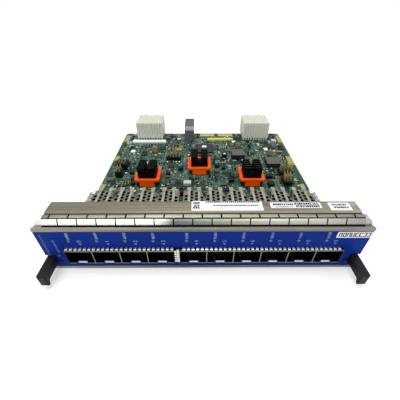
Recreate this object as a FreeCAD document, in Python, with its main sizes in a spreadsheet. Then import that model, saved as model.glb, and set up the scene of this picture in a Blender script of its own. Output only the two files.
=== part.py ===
import FreeCAD, Part
import os
import re

import Sketcher

# Network interface module: a circuit board that slides into a chassis behind a blue face
# with ten transceiver ports, two backplane connectors at the rear and two ejector levers.
# Frame: X to the right, Y to the rear, Z up. The origin lies on the front of the blue face,
# midway across it, level with the lowest edge of the face. Sizes are millimetres.

SIZES = {
    "Port row": {
        "port_pitch": 14.25,
        "left_ports": 4,
        "right_ports": 6,
        "gang_gap": 2.65,
        "row_shift": 0.325,
    },
    "Port cages": {
        "cage_height": 9.6,
        "cage_wall": 0.4,
        "divider_wall": 0.5,
        "cage_proud": 1.8,
        "cage_back": 50.4,
        "base_back": 36.4,
        "notch_width": 5.2,
        "notch_length": 9.4,
        "tab_reach": 4.4,
        "tab_width": 2.6,
        "tab_out": 3.3,
        "vent_width": 5.4,
        "vent_length": 8.0,
        "vent_pitch": 9.2,
        "vent_start": 15.0,
        "vent_out": 3.4,
        "vent_rows": 3,
        "latch_width": 5.2,
        "latch_slot": 5.8,
        "latch_length": 9.0,
        "latch_rise": 0.6,
        "latch_lip": 0.6,
        "collar_wall": 0.45,
        "collar_proud": 1.4,
        "collar_back": 3.6,
        "window_gap": 0.15,
    },
    "Connectors in the cages": {
        "host_width": 10.0,
        "host_depth": 9.2,
        "host_height": 5.6,
        "host_gap": 0.4,
        "host_slot_width": 9.0,
        "host_slot_height": 1.2,
        "host_slot_depth": 6.0,
        "host_slot_rise": 2.6,
    },
    "Face": {
        "face_beyond": 0.85,
        "face_low": 1.8,
        "face_high": 28.6,
        "overlay_thick": 0.4,
        "face_wall": 1.2,
        "rim_proud": 0.4,
        "rim_top": 30.8,
        "rim_round": 0.7,
        "flange_round": 0.3,
        "shelf_top": 30.0,
        "shelf_wall": 1.0,
        "shelf_back": 16.0,
        "flange_wall": 1.2,
        "flange_back": 10.0,
        "slot_gap_side": 0.15,
        "slot_gap_low": 0.4,
        "slot_gap_high": 0.6,
        "screw_hole_rise": 6.4,
    },
    "Hood and spring strip": {
        "hood_inset": 4.6,
        "hood_front": 6.4,
        "hood_back": 15.34,
        "hood_top": 34.85,
        "hood_wall": 1.0,
        "hood_round": 0.6,
        "finger_pitch": 9.434,
        "finger_slots": 16,
        "finger_shift": -0.71,
        "slot_width": 0.7,
        "strip_front": 2.0,
        "strip_low": 30.6,
        "strip_bend": 4.2,
        "strip_drop": 0.45,
        "strip_bulge": 2.55,
        "strip_middle": 32.9,
        "strip_wall": 0.3,
        "strip_leg": 31.0,
        "strip_end_inset": 1.2,
        "strip_end_round": 3.0,
    },
    "Lights": {
        "light_offset": -3.25,
        "light_rise": 22.1,
        "light_hole": 1.8,
        "light_pin": 1.6,
        "light_proud": 0.3,
        "light_bar_depth": 2.4,
        "light_bar_height": 2.6,
        "light_board_thick": 1.0,
        "light_board_low": 18.5,
        "light_board_high": 27.0,
        "status_beyond": 1.9,
        "status_rise": 10.8,
        "status_flange": 3.4,
        "status_flange_thick": 0.8,
        "status_gap": 0.2,
    },
    "Circuit board": {
        "board_left_beyond": 2.1,
        "board_right_beyond": 5.5,
        "board_gap": 0.4,
        "board_back": 162.2,
        "board_top": 6.3,
        "board_thick": 2.0,
        "board_notch_gap": 0.5,
        "board_notch_back": 15.5,
        "board_corner": 2.5,
        "screw_near": 24.0,
        "screw_far": 66.0,
        "screw_back": 6.0,
        "screw_shank": 2.4,
        "screw_fit": 0.05,
        "screw_head": 4.2,
        "spacer_width": 5.0,
    },
    "Heat sinks and clips": {
        "sink_left_x": -41.0,
        "sink_left_y": 76.9,
        "sink_middle_x": -1.8,
        "sink_middle_y": 93.3,
        "sink_right_x": 37.8,
        "sink_right_y": 77.1,
        "chip_width": 16.0,
        "chip_thick": 2.6,
        "sink_foot_width": 15.6,
        "sink_foot_thick": 1.7,
        "sink_width": 13.0,
        "sink_tall": 10.4,
        "fin_count": 5,
        "fin_gap": 1.25,
        "fin_depth": 9.8,
        "channel_width": 2.4,
        "clip_width": 18.6,
        "clip_round": 2.0,
        "clip_thick": 1.9,
        "clip_gap": 0.15,
        "skirt_width": 11.6,
        "skirt_wall": 1.0,
        "skirt_gap": 0.3,
    },
    "Backplane connectors": {
        "link_left_x": -49.9,
        "link_right_x": 53.5,
        "link_front": 146.2,
        "link_depth": 22.6,
        "link_height": 17.4,
        "wafer_count": 10,
        "wafer_pitch": 2.5,
        "wafer_groove": 0.6,
        "groove_depth": 0.8,
        "comb_gap": 1.1,
        "comb_height": 2.6,
        "comb_depth": 1.6,
        "key_width": 2.4,
        "key_depth": 3.0,
        "key_height": 0.8,
        "bar_left": -66.2,
        "bar_right": -34.4,
        "bar_depth": 4.3,
        "bar_gap": 2.0,
        "bar_height": 1.6,
    },
    "Guide block": {
        "guide_x": -11.3,
        "guide_width": 8.9,
        "guide_front": 144.7,
        "guide_back": 167.0,
        "guide_height": 14.0,
        "guide_slope": 3.0,
        "guide_bore": 5.0,
        "guide_bore_depth": 16.0,
        "guide_bore_rise": 7.0,
        "guide_mouth": 7.0,
        "guide_mouth_depth": 1.5,
    },
    "Ejector levers": {
        "grip_beyond": 4.1,
        "grip_width": 4.3,
        "grip_reach": 13.3,
        "lever_low": 5.3,
        "lever_high": 10.3,
        "chin_drop": 2.4,
        "chin_length": 2.4,
        "grip_round": 0.7,
        "pivot_in": 2.0,
        "pivot_back": 8.0,
        "pivot_pin": 3.0,
        "pivot_fit": 0.05,
        "lever_root": 6.6,
        "toe_reach": 5.4,
        "toe_depth": 3.4,
        "pin_head": 5.0,
        "pin_head_thick": 0.8,
        "bracket_wall": 1.0,
        "bracket_gap": 0.4,
        "bracket_beyond": 2.0,
        "bracket_reach": 2.6,
        "bracket_screw_in": 2.3,
        "bracket_front": 4.6,
        "bracket_back": 12.0,
        "bracket_tab": 2.7,
        "bracket_tab_low": 3.9,
    },
    "Corner screw and post": {
        "corner_screw_x": -69.0,
        "corner_screw_y": 137.8,
        "corner_head": 4.6,
        "corner_head_tall": 1.9,
        "corner_post_x": 69.2,
        "corner_post_y": 137.0,
        "corner_post_wide": 5.0,
        "corner_post_tall": 4.6,
        "corner_shank": 2.4,
    },
    "Pin header": {
        "pin_pitch": 2.54,
        "pin_width": 0.8,
        "pin_tall": 11.5,
        "pin_count": 5,
    },
}

# What stands on the board: middle across, middle rearwards, width, depth and height.
# The first group are nodes of their own, the second are small parts soldered on the board.
BLOCKS = {
    "memory_chip": (3.1, 127.6, 16.4, 15.6, 1.4),
    "inductor_left": (32.5, 114.3, 11.4, 11.2, 4.2),
    "inductor_right": (60.3, 100.2, 11.3, 11.2, 4.0),
    "box_header": (-65.6, 95.2, 9.0, 7.6, 5.8),
    "narrow_header": (-65.4, 83.6, 5.2, 7.0, 5.2),
    "side_header": (67.5, 86.6, 10.4, 8.0, 3.8),
    "front_header": (65.2, 73.4, 6.4, 9.0, 3.7),
    "pin_header": (-24.3, 109.0, 12.6, 5.1, 3.4),
    "bus_bar": (19.0, 147.4, 25.0, 3.6, 1.2),
}
SMALL_PARTS = {
    "capacitor": (-11.1, 69.7, 5.5, 4.4, 2.8),
    "shunt": (-70.2, 74.6, 5.8, 4.2, 3.2),
    "coil_left": (-42.4, 122.6, 4.4, 4.0, 5.6),
    "coil_middle": (33.6, 130.2, 3.4, 3.2, 4.2),
    "coil_right": (61.7, 117.0, 3.4, 3.2, 4.2),
    "driver": (-36.0, 127.6, 5.0, 5.0, 1.1),
    "gate": (20.4, 114.2, 4.4, 4.6, 2.8),
    "relay": (12.4, 94.1, 4.2, 2.6, 2.4),
    "filter": (-25.5, 95.8, 5.0, 2.4, 1.1),
    "buffer": (52.6, 78.2, 4.0, 3.0, 2.8),
    "choke": (51.4, 66.4, 3.8, 3.0, 2.8),
    "array": (27.2, 100.9, 6.0, 3.4, 1.1),
    "diode": (-26.2, 78.3, 3.1, 2.8, 2.6),
    "crystal": (-18.4, 72.5, 2.7, 2.2, 1.9),
}

DERIVED = {
    "left_span": "left_ports * port_pitch",
    "right_span": "right_ports * port_pitch",
    "left_start": "row_shift - (left_span + gang_gap + right_span) / 2",
    "left_end": "left_start + left_span",
    "right_start": "left_end + gang_gap",
    "right_end": "right_start + right_span",
    "row_half": "row_shift + (left_span + gang_gap + right_span) / 2",
    "bracket_inner": "row_half + bracket_beyond",
    "grip_inner": "bracket_inner + grip_beyond",
    "pivot_out": "grip_inner + pivot_in",
    "bracket_outer": "pivot_out + bracket_reach",
    "screw_hole_out": "bracket_inner + bracket_screw_in",
    "status_out": "-bracket_inner - status_beyond",
    "bracket_tab_high": "status_rise - status_flange / 2 - status_gap",
    "face_width": "2 * (grip_inner + grip_width + face_beyond)",
    "hood_width": "face_width - 2 * hood_inset",
    "strip_end_out": "face_width / 2 - strip_end_inset",
    "board_left": "-bracket_inner - board_left_beyond",
    "board_right": "bracket_inner + board_right_beyond",
    "board_notch_out": "bracket_inner - board_notch_gap",
    "cage_top": "board_top + cage_height",
    "notch_tip_shift": "sqrt((notch_width / 2)^2 + notch_length^2) / (notch_width / 2)",
    "window_margin": "collar_wall + window_gap",
    "wall_back": "overlay_thick + face_wall",
    "board_front": "wall_back + board_gap",
    "board_low": "board_top - board_thick",
    "strip_top": "hood_top - strip_drop",
    "first_slot": "finger_shift - finger_pitch * (finger_slots - 1) / 2",
    "light_bar_back": "wall_back + light_bar_depth",
    "chip_top": "board_top + chip_thick",
    "foot_top": "chip_top + sink_foot_thick",
    "sink_top": "foot_top + sink_tall",
    "clip_top": "foot_top + clip_thick",
    "fin_pitch": "(sink_width + fin_gap) / fin_count",
    "link_width": "wafer_count * wafer_pitch",
    "link_top": "board_top + link_height",
    "link_back": "link_front + link_depth",
    "bar_back": "link_front - bar_gap",
    "guide_top": "board_top + guide_height",
    "lever_slot_inner": "grip_inner - slot_gap_side",
    "pivot_hole": "pivot_pin + 2 * pivot_fit",
    "bracket_low": "lever_low - bracket_gap - bracket_wall",
    "bracket_high": "lever_high + bracket_gap + bracket_wall",
    "screw_hole": "screw_shank + 2 * screw_fit",
}

# Two positions nearer to each other than this are the same
CLOSE = 1e-4

doc = FreeCAD.newDocument("InterfaceModule")
sheet = doc.addObject("Spreadsheet::Sheet", "Sizes")
aliases = set()
nodes = {}


def fill_sheet():
    row = 0
    for section, values in SIZES.items():
        row += 1
        sheet.set("A%d" % row, section)
        for alias, value in values.items():
            row += 1
            add_cell(row, alias, str(value))
    for name, values in list(BLOCKS.items()) + list(SMALL_PARTS.items()):
        for suffix, value in zip(("_x", "_y", "_wide", "_deep", "_tall"), values):
            row += 1
            add_cell(row, name + suffix, str(value))
    for alias, formula in DERIVED.items():
        row += 1
        add_cell(row, alias, "=" + formula)
    doc.recompute()


def add_cell(row, alias, text):
    sheet.set("A%d" % row, alias)
    sheet.set("B%d" % row, text)
    sheet.setAlias("B%d" % row, alias)
    aliases.add(alias)


# Expressions are written with the bare names of the sheet
def linked(text):
    def name(match):
        word = match.group(0)
        return "Sizes." + word if word in aliases else word
    return re.sub(r"[a-z_]+", name, str(text))


def bind(thing, path, text):
    thing.setExpression(path, linked(text))


def number(text):
    value = sheet.evalExpression(linked(text))
    return float(getattr(value, "Value", value))


def keep(thing, label):
    thing.Label = label
    nodes[label] = thing
    return thing


# Solids by their limits, and booleans of them
def block(name, across, back, up):
    box = doc.addObject("Part::Box", name)
    for size, axis, (low, high) in zip(("Length", "Width", "Height"), "xyz", (across, back, up)):
        bind(box, size, "(%s) - (%s)" % (high, low))
        bind(box, "Placement.Base." + axis, low)
    return box


TURNS = {"x": FreeCAD.Rotation(FreeCAD.Vector(0, 1, 0), 90),
         "y": FreeCAD.Rotation(FreeCAD.Vector(1, 0, 0), -90),
         "z": FreeCAD.Rotation()}


def rod(name, axis, place, length, diameter, tip=None):
    kind = "Part::Cylinder" if tip is None else "Part::Cone"
    rod = doc.addObject(kind, name)
    rod.Placement = FreeCAD.Placement(FreeCAD.Vector(), TURNS[axis])
    for letter, text in zip("xyz", place):
        bind(rod, "Placement.Base." + letter, text)
    bind(rod, "Height", length)
    if tip is None:
        bind(rod, "Radius", "(%s) / 2" % diameter)
    else:
        bind(rod, "Radius1", "(%s) / 2" % diameter)
        bind(rod, "Radius2", "(%s) / 2" % tip)
    return rod


def fuse(name, shapes):
    joined = doc.addObject("Part::MultiFuse", name)
    joined.Shapes = shapes
    joined.Refine = True
    return joined


def cut(name, base, tools):
    tool = tools[0] if len(tools) == 1 else fuse(name + "_tools", tools)
    result = doc.addObject("Part::Cut", name)
    result.Base = base
    result.Tool = tool
    result.Refine = True
    return result


def group(name, shapes):
    together = doc.addObject("Part::Compound", name)
    together.Links = shapes
    return together


def centred(place, width):
    return ("%s - (%s) / 2" % (place, width), "%s + (%s) / 2" % (place, width))


def standing(name):
    return block("Block_" + name, centred(name + "_x", name + "_wide"),
                 centred(name + "_y", name + "_deep"), ("board_top", "board_top + %s_tall" % name))


# The same span on the left or the right of the face
def mirrored(side, inner, outer):
    if side > 0:
        return (inner, outer)
    return ("-(%s)" % outer, "-(%s)" % inner)


# Bodies with sketches
def new_body(name):
    return doc.addObject("PartDesign::Body", name)


def origin_feature(body, role):
    return [part for part in body.Origin.OriginFeatures if part.Role == role][0]


def sketch_on(body, name, plane, offset=None):
    sketch = body.newObject("Sketcher::SketchObject", name)
    sketch.AttachmentSupport = [(origin_feature(body, plane), "")]
    sketch.MapMode = "FlatFace"
    if offset is not None:
        bind(sketch, "AttachmentOffset.Base.z", offset)
    return sketch


def draw_outline(sketch, points):
    """Closed outline; a point with four entries ends an arc through its last two."""
    first = sketch.GeometryCount
    places = [tuple(number(text) for text in point) for point in points]
    vectors = [FreeCAD.Vector(place[0], place[1], 0) for place in places]
    for index, place in enumerate(places):
        start = vectors[index]
        following = places[(index + 1) % len(places)]
        end = vectors[(index + 1) % len(places)]
        if len(following) == 4:
            middle = FreeCAD.Vector(following[2], following[3], 0)
            sketch.addGeometry(Part.Arc(start, middle, end), False)
        else:
            sketch.addGeometry(Part.LineSegment(start, end), False)
    for index, point in enumerate(points):
        geo = first + index
        name = "%s%d" % (sketch.Name, geo)
        corner = start_of(sketch, geo, vectors[index])
        for letter, kind, text in zip("uv", ("DistanceX", "DistanceY"), point[:2]):
            spot = sketch.addConstraint(
                Sketcher.Constraint(kind, -1, 1, geo, corner, number(text)))
            sketch.renameConstraint(spot, letter + name)
            bind(sketch, "Constraints." + letter + name, text)
    for index in range(len(points)):
        geo = first + index
        after = first + (index + 1) % len(points)
        joint = vectors[(index + 1) % len(points)]
        sketch.addConstraint(Sketcher.Constraint(
            "Coincident", geo, start_of(sketch, geo, joint), after, start_of(sketch, after, joint)))
    for index, point in enumerate(points):
        if len(point) == 4:
            arc = first + (index - 1) % len(points)
            fix_middle(sketch, arc, vectors[index - 1], vectors[index], places[index])


# An arc's own start may be either end of the stretch that it draws
def start_of(sketch, geo, point):
    return 1 if sketch.getPoint(geo, 1).distanceToPoint(point) < 1e-6 else 2


def fix_middle(sketch, arc, start, end, place):
    """Hold the arc's radius, worked out from its three points."""
    radius = Part.Arc(start, FreeCAD.Vector(place[2], place[3], 0), end).toShape().Curve.Radius
    sketch.addConstraint(Sketcher.Constraint("Radius", arc, radius))


def rectangle(sketch, across, up):
    draw_outline(sketch, [(across[0], up[0]), (across[1], up[0]), (across[1], up[1]), (across[0], up[1])])


def draw_circle(sketch, across, up, diameter):
    geo = sketch.addGeometry(Part.Circle(
        FreeCAD.Vector(number(across), number(up), 0), FreeCAD.Vector(0, 0, 1), number(diameter) / 2), False)
    for letter, kind, text in (("u", "DistanceX", across), ("v", "DistanceY", up)):
        spot = sketch.addConstraint(Sketcher.Constraint(kind, -1, 1, geo, 3, number(text)))
        name = "%sc%s%d" % (letter, sketch.Name, geo)
        sketch.renameConstraint(spot, name)
        bind(sketch, "Constraints." + name, text)
    spot = sketch.addConstraint(Sketcher.Constraint("Diameter", geo, number(diameter)))
    name = "d%s%d" % (sketch.Name, geo)
    sketch.renameConstraint(spot, name)
    bind(sketch, "Constraints." + name, diameter)


def pad(body, sketch, length, middle=False):
    feature = body.newObject("PartDesign::Pad", sketch.Name + "_Pad")
    feature.Profile = sketch
    bind(feature, "Length", length)
    feature.Midplane = middle
    doc.recompute()
    return feature


def pocket(body, sketch, length=None, reverse=False, middle=False):
    """Without a length the pocket goes through everything, both ways."""
    before = body.Tip.Shape.Volume
    feature = body.newObject("PartDesign::Pocket", sketch.Name + "_Pocket")
    feature.Profile = sketch
    if length is None:
        feature.Type = "ThroughAll"
        feature.Midplane = True
    else:
        bind(feature, "Length", length)
        feature.Midplane = middle
    feature.Reversed = reverse
    doc.recompute()
    if feature.Shape.Volume >= before:
        raise RuntimeError(feature.Name + " removes nothing")
    return feature


def repeat(body, feature, axis, pitch, count):
    pattern = body.newObject("PartDesign::LinearPattern", feature.Name + "_Row")
    pattern.Originals = [feature]
    pattern.Direction = (origin_feature(body, axis), [""])
    bind(pattern, "Length", "(%s) * ((%s) - 1)" % (pitch, count))
    bind(pattern, "Occurrences", count)
    body.Tip = pattern
    doc.recompute()
    return pattern


# Round the edges of a body that a test picks
def round_edges(body, radius, wanted):
    base = body.Tip
    edges = ["Edge%d" % (index + 1) for index, edge in enumerate(base.Shape.Edges) if wanted(edge)]
    feature = body.newObject("PartDesign::Fillet", body.Name + "_" + radius)
    feature.Base = (base, edges)
    bind(feature, "Radius", radius)
    doc.recompute()
    return feature


def ports():
    """Middle of each port, from left to right, as expressions."""
    left = ["left_start + port_pitch * %.1f" % (index + 0.5) for index in range(int(number("left_ports")))]
    right = ["right_start + port_pitch * %.1f" % (index + 0.5) for index in range(int(number("right_ports")))]
    return left, right


# The face
def window_span(gang):
    return ("%s_start - window_margin" % gang, "%s_end + window_margin" % gang)


def face_openings(body, prefix):
    """Port windows, light holes and screw holes, the same through sheet and overlay."""
    windows = sketch_on(body, prefix + "Windows", "XZ_Plane")
    for gang in ("left", "right"):
        rectangle(windows, window_span(gang), ("board_top - window_margin", "cage_top + window_margin"))
    for middle in sum(ports(), []):
        draw_circle(windows, "%s + light_offset" % middle, "light_rise", "light_hole")
    draw_circle(windows, "status_out", "status_rise", "light_hole")
    for side in (-1, 1):
        draw_circle(windows, "%d * screw_hole_out" % side, "screw_hole_rise", "screw_shank")
    pocket(body, windows)
    slots = sketch_on(body, prefix + "LeverSlots", "XZ_Plane")
    for side in (-1, 1):
        rectangle(slots, mirrored(side, "lever_slot_inner", "face_width"),
                  ("lever_low - slot_gap_low", "lever_high + slot_gap_high"))
    pocket(body, slots)


def make_faceplate():
    body = new_body("Faceplate")
    profile = sketch_on(body, "FaceProfile", "YZ_Plane")
    draw_outline(profile, [
        ("-rim_proud", "0"), ("flange_back", "0"), ("flange_back", "flange_wall"),
        ("wall_back", "flange_wall"), ("wall_back", "shelf_top - shelf_wall"),
        ("shelf_back", "shelf_top - shelf_wall"), ("shelf_back", "shelf_top"),
        ("wall_back", "shelf_top"), ("wall_back", "rim_top"), ("-rim_proud", "rim_top"),
        ("-rim_proud", "face_high"), ("overlay_thick", "face_high"),
        ("overlay_thick", "face_low"), ("-rim_proud", "face_low")])
    pad(body, profile, "face_width", middle=True)
    front, middle = -number("rim_proud"), number("face_high") / 2

    def front_edges(upper):
        def wanted(edge):
            box = edge.BoundBox
            ahead = abs(box.YMin - front) < CLOSE and abs(box.YMax - front) < CLOSE
            return ahead and box.XLength > CLOSE and (box.ZMin > middle) == upper
        return wanted
    round_edges(body, "rim_round", front_edges(True))
    round_edges(body, "flange_round", front_edges(False))
    face_openings(body, "Face")
    shelf = sketch_on(body, "ShelfEnds", "XY_Plane", "shelf_top - 2 * shelf_wall")
    for side in (-1, 1):
        rectangle(shelf, mirrored(side, "hood_width / 2", "face_width"), ("hood_front", "2 * shelf_back"))
    pocket(body, shelf, "4 * shelf_wall", reverse=True)
    holes = sketch_on(body, "FlangeHoles", "XY_Plane")
    for place in screw_places():
        draw_circle(holes, place, "screw_back", "screw_hole")
    pocket(body, holes, "2 * flange_wall", middle=True)
    sinks = [rod("FlangeSink%d" % index, "z", (place, "screw_back", "0"), "flange_wall",
                 "screw_head + 2 * screw_fit", tip="screw_hole")
             for index, place in enumerate(screw_places())]
    keep(cut("FaceplateSunk", body, sinks), "faceplate")


def make_overlay():
    body = new_body("Overlay")
    sheet_outline = sketch_on(body, "OverlayOutline", "XZ_Plane", "-overlay_thick")
    rectangle(sheet_outline, ("-face_width / 2", "face_width / 2"), ("face_low", "face_high"))
    pad(body, sheet_outline, "overlay_thick")
    face_openings(body, "Overlay")
    keep(body, "face_overlay")


def make_hood():
    body = new_body("Hood")
    outline = sketch_on(body, "HoodOutline", "XY_Plane", "shelf_top")
    half = ("-hood_width / 2", "hood_width / 2")
    rectangle(outline, half, ("hood_front", "hood_back"))
    pad(body, outline, "hood_top - shelf_top")
    hollow = sketch_on(body, "HoodHollow", "XY_Plane", "shelf_top")
    rectangle(hollow, ("-hood_width / 2 + hood_wall", "hood_width / 2 - hood_wall"),
              ("hood_front + hood_wall", "hood_back - hood_wall"))
    pocket(body, hollow, "hood_top - shelf_top - hood_wall", reverse=True)
    front, top = number("hood_front"), number("hood_top")

    def top_front(edge):
        box = edge.BoundBox
        return abs(box.YMax - front) < CLOSE and abs(box.ZMin - top) < CLOSE
    round_edges(body, "hood_round", top_front)
    keep(body, "top_hood")


# The spring strip: a leg on the hood's front, a flat band and bowed fingers
def make_strip():
    body = new_body("SpringStrip")
    profile = sketch_on(body, "StripProfile", "YZ_Plane")
    draw_outline(profile, [
        ("hood_front", "strip_leg"), ("hood_front", "strip_top"), ("strip_bend", "strip_top"),
        ("strip_front", "strip_low", "strip_bulge", "strip_middle"),
        ("strip_front + strip_wall", "strip_low"),
        ("strip_bend", "strip_top - strip_wall", "strip_bulge + strip_wall", "strip_middle - strip_wall / 2"),
        ("hood_front - strip_wall", "strip_top - strip_wall"), ("hood_front - strip_wall", "strip_leg")])
    pad(body, profile, "hood_width", middle=True)
    slot = sketch_on(body, "FingerSlot", "XY_Plane", "strip_top")
    rectangle(slot, centred("first_slot", "slot_width"), ("0", "strip_bend + slot_width"))
    full = pocket(body, slot, "strip_top - shelf_top")
    repeat(body, full, "X_Axis", "finger_pitch", "finger_slots")
    short = sketch_on(body, "BandSlot", "XY_Plane", "strip_top")
    rectangle(short, centred("first_slot - finger_pitch / 2", "slot_width"),
              ("strip_bend", "hood_front - 2 * strip_wall"))
    band = pocket(body, short, "2 * strip_wall")
    repeat(body, band, "X_Axis", "finger_pitch", "finger_slots + 1")
    keep(body, "spring_strip")


def make_strip_end(side, label):
    body = new_body("StripEnd" + label)
    profile = sketch_on(body, "StripEndProfile" + label, "XZ_Plane", "-hood_front")
    inner, outer = "hood_width / 2", "strip_end_out"
    rectangle(profile, mirrored(side, inner, outer), ("shelf_top", "strip_top"))
    pad(body, profile, "hood_front - strip_front")
    reach, top, front = number(outer), number("strip_top"), number("strip_front")

    def shoulder(edge):
        box = edge.BoundBox
        high = abs(box.ZMin - top) < CLOSE
        outermost = abs(abs(box.XMin) - reach) < CLOSE and box.XLength < CLOSE
        return high and (outermost or abs(box.YMax - front) < CLOSE)
    round_edges(body, "strip_end_round", shoulder)
    keep(body, "strip_end_" + label)


# Lights behind the face
def make_lights():
    for gang, middles in zip(("left", "right"), ports()):
        low = "light_rise - light_bar_height / 2"
        bar = block("LightBar_" + gang,
                    ("%s + light_offset - light_bar_height / 2" % middles[0],
                     "%s + light_offset + light_bar_height / 2" % middles[-1]),
                    ("wall_back", "light_bar_back"), (low, low + " + light_bar_height"))
        pins = [rod("LightPin_%s%d" % (gang, index), "y",
                    ("%s + light_offset" % middle, "-light_proud", "light_rise"),
                    "wall_back + light_proud + light_bar_depth / 2", "light_pin")
                for index, middle in enumerate(middles)]
        keep(fuse("Lights_" + gang, [bar] + pins), "light_pipe_" + gang)
    left, right = ports()
    keep(block("LightBoard",
               ("%s + light_offset - light_bar_height" % left[0],
                "%s + light_offset + light_bar_height" % right[-1]),
               ("light_bar_back", "light_bar_back + light_board_thick"),
               ("light_board_low", "light_board_high")), "light_board")
    lens = rod("StatusPin", "y", ("status_out", "-light_proud", "status_rise"),
               "wall_back + light_proud + status_flange_thick", "light_pin")
    flange = rod("StatusFlange", "y", ("status_out", "wall_back", "status_rise"),
                 "status_flange_thick", "status_flange")
    keep(fuse("StatusLens", [lens, flange]), "status_lens")


# The board
def screw_places():
    return ["-screw_far", "-screw_near", "screw_near", "screw_far"]


def make_board():
    body = new_body("Board")
    outline = sketch_on(body, "BoardOutline", "XY_Plane", "board_low")
    draw_outline(outline, [
        ("-board_notch_out", "board_front"), ("board_notch_out", "board_front"),
        ("board_notch_out", "board_notch_back"), ("board_right", "board_notch_back"),
        ("board_right", "board_back - board_corner"), ("board_right - board_corner", "board_back"),
        ("board_left + board_corner", "board_back"), ("board_left", "board_back - board_corner"),
        ("board_left", "board_notch_back"), ("-board_notch_out", "board_notch_back")])
    pad(body, outline, "board_thick")
    holes = sketch_on(body, "BoardHoles", "XY_Plane", "board_low")
    for place in screw_places():
        draw_circle(holes, place, "screw_back", "screw_hole")
    draw_circle(holes, "corner_screw_x", "corner_screw_y", "corner_shank + 2 * screw_fit")
    draw_circle(holes, "corner_post_x", "corner_post_y", "corner_shank + 2 * screw_fit")
    pocket(body, holes, "board_thick", reverse=True)
    parts = [standing(name) for name in SMALL_PARTS]
    keep(fuse("BoardWithParts", [body] + parts), "circuit_board")
    for name in BLOCKS:
        if name != "pin_header":
            keep(standing(name), name)


def make_pin_header():
    base = standing("pin_header")
    pins = []
    for index in range(int(number("pin_count"))):
        for row, offset in enumerate((-0.5, 0.5)):
            across = "pin_header_x + pin_pitch * (%d - (pin_count - 1) / 2)" % index
            back = "pin_header_y + pin_pitch * %.1f" % offset
            pins.append(block("Pin%d_%d" % (index, row), centred(across, "pin_width"),
                              centred(back, "pin_width"), ("board_top", "board_top + pin_tall")))
    keep(fuse("PinHeader", [base] + pins), "pin_header")


def make_fasteners():
    screws, spacers = [], []
    for index, place in enumerate(screw_places()):
        head = rod("ScrewHead%d" % index, "z", (place, "screw_back", "0"), "flange_wall",
                   "screw_head", tip="screw_shank")
        shank = rod("ScrewShank%d" % index, "z", (place, "screw_back", "0"), "board_top", "screw_shank")
        screws.append(fuse("Screw%d" % index, [head, shank]))
        tube = rod("SpacerTube%d" % index, "z", (place, "screw_back", "flange_wall"),
                   "board_low - flange_wall", "spacer_width")
        bore = rod("SpacerBore%d" % index, "z", (place, "screw_back", "0"), "board_top", "screw_hole")
        spacers.append(cut("Spacer%d" % index, tube, [bore]))
    keep(group("Screws", screws), "flange_screws")
    keep(group("Spacers", spacers), "flange_spacers")
    for label, name, tall, wide in (
            ("Screw", "corner_screw", "corner_head_tall", "corner_head"),
            ("Post", "corner_post", "corner_post_tall", "corner_post_wide")):
        head = rod(label + "Head", "z", (name + "_x", name + "_y", "board_top"), tall, wide)
        shank = rod(label + "Shank", "z", (name + "_x", name + "_y", "board_low"),
                    "board_thick", "corner_shank")
        keep(fuse("Corner" + label, [head, shank]), name)


# Plan of a cage with a wedge cut between each two ports, set in by a wall
def cage_outline(gang, name, count, inset, tall):
    body = new_body("Cage%s_%s" % (name, gang))
    sketch = sketch_on(body, "Plan%s_%s" % (name, gang), "XY_Plane", "board_top")
    front = "-cage_proud - 2 * (%s)" % inset
    back = "cage_back - (%s)" % inset
    corners = [("%s_start + %s" % (gang, inset), front), ("%s_end - %s" % (gang, inset), front),
               ("%s_end - %s" % (gang, inset), back)]
    for index in reversed(range(1, count)):
        middle = "%s_start + port_pitch * %d" % (gang, index)
        corners += [("%s + notch_width / 2 + %s" % (middle, inset), back),
                    (middle, "cage_back - notch_length - notch_tip_shift * (%s)" % inset),
                    ("%s - notch_width / 2 - %s" % (middle, inset), back)]
    corners.append(("%s_start + %s" % (gang, inset), back))
    draw_outline(sketch, corners)
    pad(body, sketch, tall)
    return body


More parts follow.
